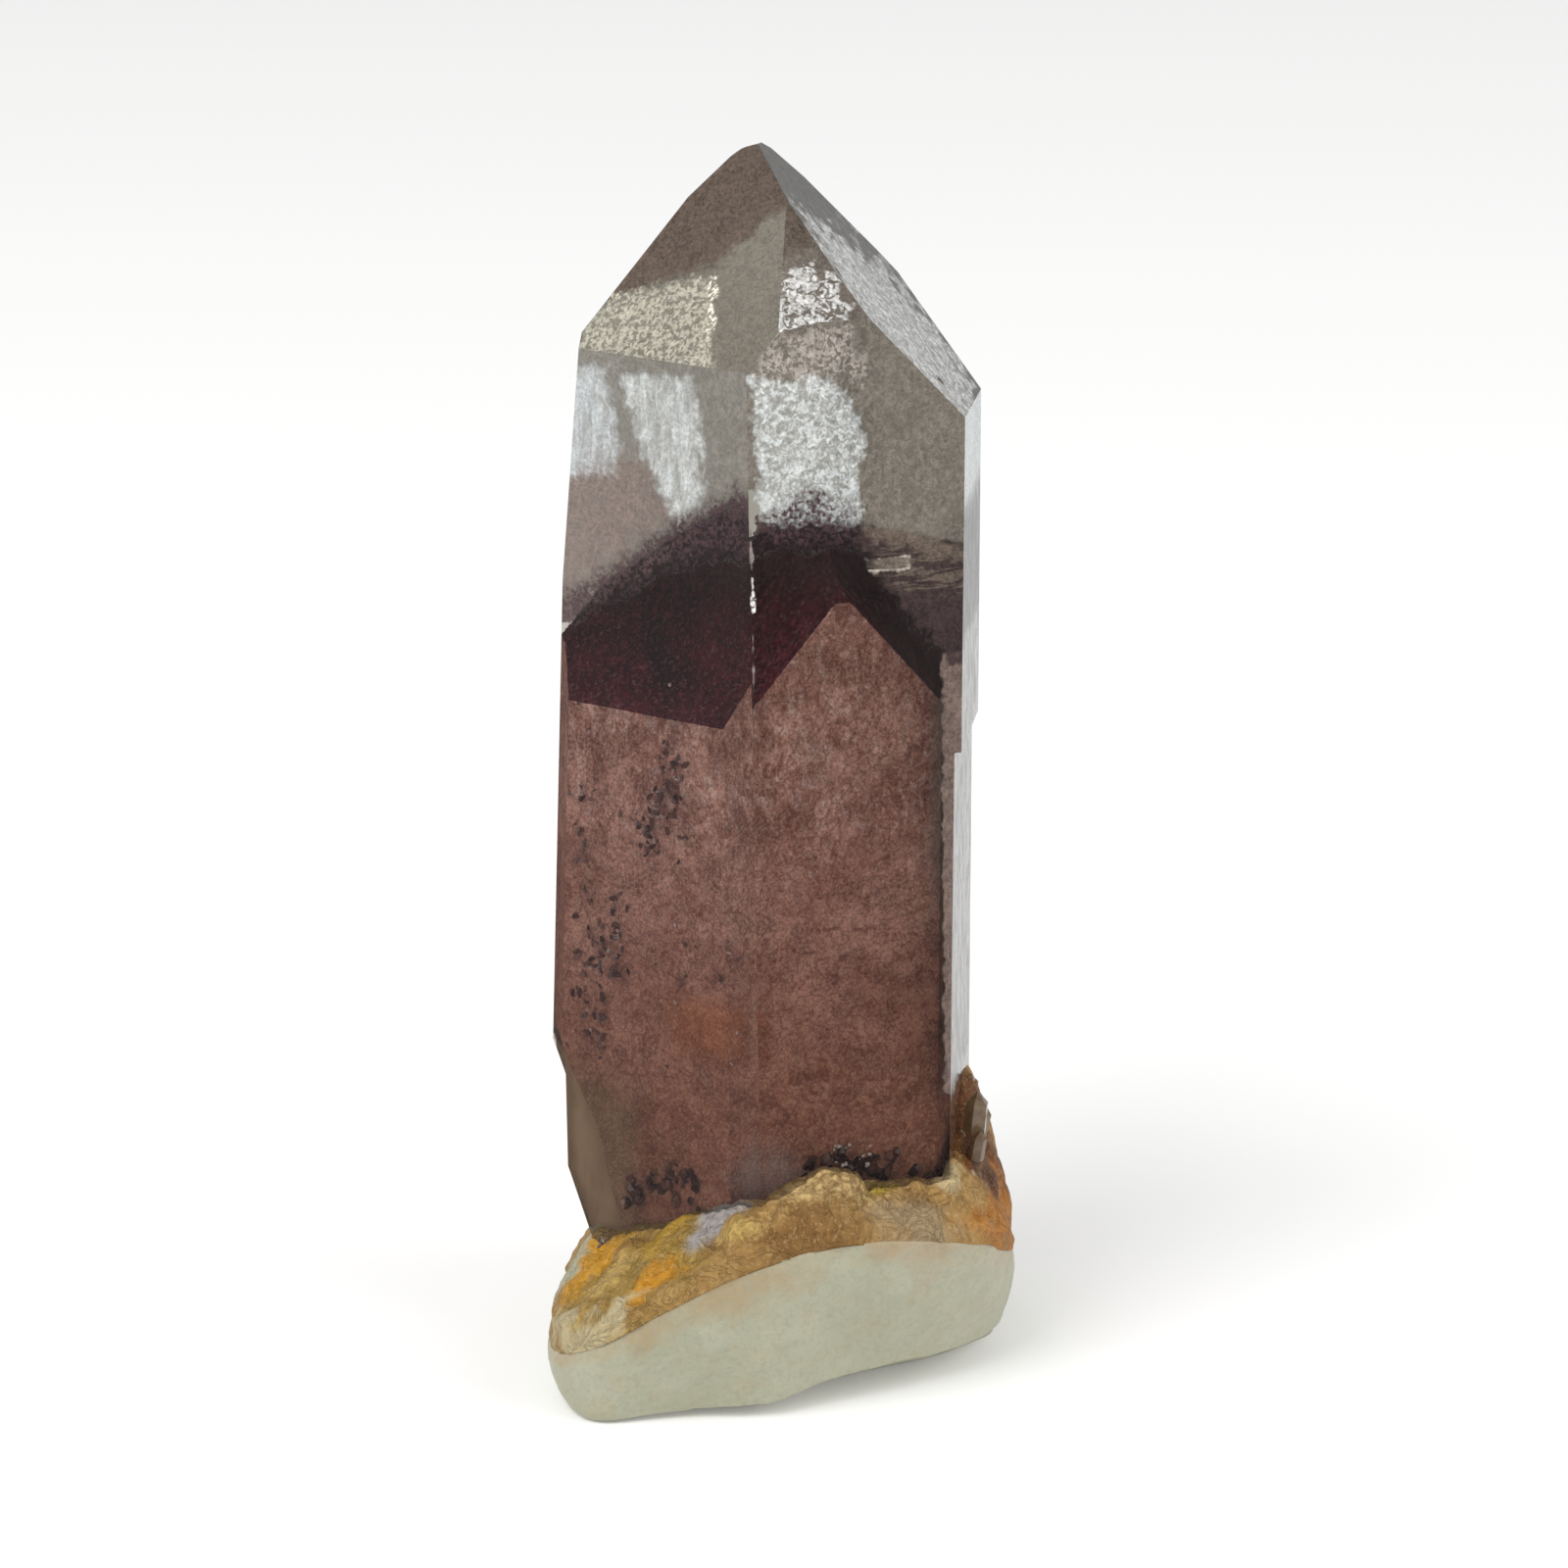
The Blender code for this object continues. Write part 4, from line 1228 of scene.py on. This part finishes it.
class QUARTZ_OT_phantom(PieceOperator, bpy.types.Operator):
    """Make the red phantom, its flakes and the cloud in the root"""

    bl_idname = "quartz.phantom"
    bl_label = "Phantom"

    def execute(self, context):
        values = context.scene.specimen
        planes = phantom_planes()
        piece = new_piece("phantom", *convex_solid(planes), phantom_material(values), smooth=False)
        outward_mesh(piece)
        cut_away(piece, [swept_profile(PHANTOM_FOOT_PROFILE)])
        face_attribute(piece, "end_face", face_normals(piece)[:, 2] > 0.4)
        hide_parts("red_phantom")
        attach(piece, "root")
        cloud = new_piece("root_cloud", *root_cloud_shape(), foot_material(), smooth=False)
        outward_mesh(cloud)
        cut_away(cloud, [swept_profile(FOOT_PROFILE, -CLOUD_GAP)])
        for inner in (cloud, *flake_pieces(planes[0])):
            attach(inner, "root")
        return {"FINISHED"}


class QUARTZ_OT_rock(PieceOperator, bpy.types.Operator):
    """Make the white rock"""

    bl_idname = "quartz.rock"
    bl_label = "Rock"

    def execute(self, context):
        values = context.scene.specimen
        rings = rock_shape()
        points, faces = ring_stack(rings)
        lump = 0.26 * layered_noise(points, 3.0, 3) + 0.06 * layered_noise(points, 0.9, 11)
        lump *= smooth_step(points[:, 2], 0.0, 0.8)
        points = points + surface_normals(points, faces) * lump[:, None]
        brow_ring = len(ROCK_CUT_SHARES) + len(ROCK_CHIN_SHARES) + ROCK_SIDE_RINGS - 1
        below_brow = (brow_ring - ring_numbers(points, rings)) / ROCK_SIDE_RINGS
        angle = degrees_round(points)
        depth = 0.16 + 0.30 * layered_noise(points, 1.8, 21)
        depth += 0.12 * spread(angle, 225.0, 20.0) + 0.16 * spread(angle, 311.0, 10.0)
        stained = 0.75 * smooth_step(depth - below_brow, -0.12, 0.14)[:, None]
        front = spread(angle, 330.0, 40.0)[:, None]
        stain = np.array([0.36, 0.25, 0.12]) * (1.0 - front) + np.array([0.36, 0.22, 0.12]) * front
        piece = new_piece("rock", points, faces, rock_material(values))
        point_attribute(piece, "stain", np.array(values.rock_colour) * (1.0 - stained) + stain * stained)
        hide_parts("matrix_rock")
        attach(piece, "root")
        return {"FINISHED"}


class QUARTZ_OT_crust(PieceOperator, bpy.types.Operator):
    """Make the iron crust"""

    bl_idname = "quartz.crust"
    bl_label = "Crust"

    def execute(self, context):
        values = context.scene.specimen
        rings, start = crust_shape()
        points, faces = ring_stack(rings)
        ring = ring_numbers(points, rings)
        share = np.clip((ring - start) / CRUST_STEPS, 0.0, 1.0)
        angle = degrees_round(points)
        exposed = smooth_step(ring, start - 2, start + 3)
        exposed *= 1.0 - smooth_step(ring, len(rings) - 4, len(rings) - 2)
        grainy = np.clip(spread(angle, 294.0, 32.0) * smooth_step(share, 0.2, 0.5), 0.0, 1.0)
        lump = 0.45 * layered_noise(points, 2.2, 5) + 0.30 * grain_height(points, 1.7, 9)
        lump += (0.06 + 0.20 * grainy) * grain_height(points, 0.55, 15)
        lump += 0.32 * grainy * smooth_step(share, 0.4, 0.7) * grain_height(points, 1.0, 55)
        lump += 0.5 * spread(angle, 259.0, 5.0) * spread(share, 0.4, 0.25)
        lump += 0.35 * smooth_noise(points, 1.8, 77) * spread(angle, 222.0, 24.0)
        points = points + surface_normals(points, faces) * (lump * exposed)[:, None]
        shift = 10.0 * layered_noise(points, 1.4, 31)
        lift = 0.26 * layered_noise(points, 1.2, 41)
        colour = np.tile(np.array(values.crust_colour), (len(points), 1))
        for middle, level, width, depth, spot in CRUST_SPOTS:
            turned_by = (angle + shift - middle + 180.0) % 360.0 - 180.0
            weight = spread(turned_by, 0.0, width) * spread(share + lift, level, depth)
            weight = smooth_step(weight, 0.15, 0.70)[:, None]
            colour = colour * (1.0 - weight) + np.array(spot) * weight
        piece = new_piece("crust", points, faces, crust_material())
        point_attribute(piece, "stain", colour)
        point_attribute(piece, "grainy", grainy)
        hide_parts("iron_crust")
        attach(piece, "root")
        return {"FINISHED"}


class QUARTZ_OT_druse(PieceOperator, bpy.types.Operator):
    """Make the small quartz points where crust and crystal meet"""

    bl_idname = "quartz.druse"
    bl_label = "Druse"

    def execute(self, context):
        random = np.random.default_rng(8)
        rows = root_crystal_rows(random, phantom_planes())
        places, (radii, lengths, turns) = rows[:, :3], rows[:, 3:].T
        leans = random.uniform(35.0, 85.0, len(rows))
        material = druse_material("root_crystals", (0.040, 0.010, 0.012), (0.30, 0.14, 0.10), 0.0)
        setting = (places, radii, lengths, turns, leans, random)
        inner = crystal_piece("root_crystals", material, *setting, root=0.2)

        turns = np.concatenate([random.uniform(*span) for span in DRUSE_SPANS])
        count = len(turns)
        places = junction_places(turns, random.uniform(-0.40, 0.30, count))
        radii = random.uniform(0.12, 0.36, count)
        lengths = radii * random.uniform(1.2, 2.8, count)
        leans = random.uniform(-8.0, 30.0, count)
        material = druse_material("druse_quartz", (0.12, 0.045, 0.025), (0.48, 0.36, 0.20), 0.25)
        outer = crystal_piece("druse", material, places, radii, lengths, turns, leans, random)

        places = np.array([(9.75, -2.4, 13.4), (10.1, -1.0, 12.6), (9.9, -3.4, 12.2)])
        radii = np.array([0.62, 0.45, 0.38])
        turns = np.array([-14.0, -6.0, -20.0])
        leans = np.array([6.0, 14.0, 10.0])
        material = druse_material("olive_quartz", (0.15, 0.085, 0.045), (0.30, 0.22, 0.12), 0.3)
        setting = (places, radii, radii * 1.5, turns, leans, random)
        olive = crystal_piece("olive_points", material, *setting, shades=[0.6, 0.9, 0.3])

        count = 26
        places = uniform_box(random, count, (2.0, 4.2), (-6.4, -5.9), (12.4, 13.6))
        places[18:] = uniform_box(random, count - 18, (9.2, 9.9), (-3.6, -2.4), (10.8, 12.4))
        radii = random.uniform(0.04, 0.10, count)
        turns = random.uniform(0.0, 360.0, count)
        leans = random.uniform(0.0, 90.0, count)
        material = druse_material("glints", (0.60, 0.52, 0.46), (0.95, 0.92, 0.88), 0.0)
        glints = crystal_piece("glints", material, places, radii, radii, turns, leans, random, root=0.05)
        for piece in (inner, outer, olive, glints):
            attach(piece, "root")
        return {"FINISHED"}


def add_light(name, place, size, power):
    """A square soft light that looks at the middle of the specimen."""
    lamp = bpy.data.lights.new(name, "AREA")
    lamp.size = size
    lamp.energy = power
    light = bpy.data.objects.new(name, lamp)
    light.location = place
    aim = Vector((0.0, 0.0, 0.03)) - Vector(place)
    light.rotation_mode = "QUATERNION"
    light.rotation_quaternion = aim.to_track_quat("-Z", "Y")
    bpy.context.collection.objects.link(light)


class QUARTZ_OT_stage(PieceOperator, bpy.types.Operator):
    """Make the floor, the lights and the camera"""

    bl_idname = "quartz.stage"
    bl_label = "Stage"

    def execute(self, context):
        n = Nodes("pale_floor")
        n.shade(Base_Color=(0.90, 0.90, 0.895, 1.0), Roughness=0.9, Specular_IOR_Level=0.1)
        n.shade(Emission_Color=(1.0, 1.0, 1.0, 1.0), Emission_Strength=0.13)
        corners = [(x, z, 0.0) for x, z in block(-FLOOR_REACH, -FLOOR_REACH, FLOOR_REACH, FLOOR_REACH)]
        floor = new_piece("floor", corners, [[0, 1, 2, 3]], n.material)
        add_light("key", (-0.35, -0.40, 0.55), 0.5, 3.6)
        add_light("fill", (0.55, -0.25, 0.35), 0.5, 1.6)
        world = bpy.data.worlds.new("soft_studio")
        world.use_nodes = True
        back = world.node_tree.nodes["Background"]
        back.inputs["Color"].default_value = (1.0, 1.0, 1.0, 1.0)
        back.inputs["Strength"].default_value = 0.62
        context.scene.world = world
        context.scene.view_settings.view_transform = "Standard"
        lens = bpy.data.cameras.new("photo_view")
        lens.lens = CAMERA_LENS
        lens.sensor_width = SENSOR_WIDTH
        lens.clip_start = 0.01
        lens.clip_end = 20.0
        camera = bpy.data.objects.new("photo_view", lens)
        camera.location = CAMERA_PLACE
        camera.rotation_euler = (math.radians(90.0 - CAMERA_PITCH), 0.0, 0.0)
        context.collection.objects.link(camera)
        context.scene.camera = camera
        return {"FINISHED"}


class QUARTZ_PT_panel(bpy.types.Panel):
    """Lists the specimen's values and pieces"""

    bl_label = "Phantom Quartz"
    bl_idname = "QUARTZ_PT_panel"
    bl_space_type = "VIEW_3D"
    bl_region_type = "UI"
    bl_category = "Phantom Quartz"

    def draw(self, context):
        values = context.scene.specimen
        for name in SpecimenSettings.__annotations__:
            self.layout.prop(values, name)
        for operator in OPERATORS:
            self.layout.operator(operator.bl_idname)


OPERATORS = (
    QUARTZ_OT_clear_point,
    QUARTZ_OT_phantom,
    QUARTZ_OT_rock,
    QUARTZ_OT_crust,
    QUARTZ_OT_druse,
    QUARTZ_OT_stage,
)
CLASSES = (SpecimenSettings, *OPERATORS, QUARTZ_PT_panel)


def register():
    for item in CLASSES:
        bpy.utils.register_class(item)
    bpy.types.Scene.specimen = bpy.props.PointerProperty(type=SpecimenSettings)


def unregister():
    del bpy.types.Scene.specimen
    for item in reversed(CLASSES):
        bpy.utils.unregister_class(item)


def main():
    register()
    bpy.ops.quartz.clear_point()
    bpy.ops.quartz.phantom()
    bpy.ops.quartz.rock()
    bpy.ops.quartz.crust()
    bpy.ops.quartz.druse()
    bpy.ops.quartz.stage()


if __name__ == "__main__":
    main()
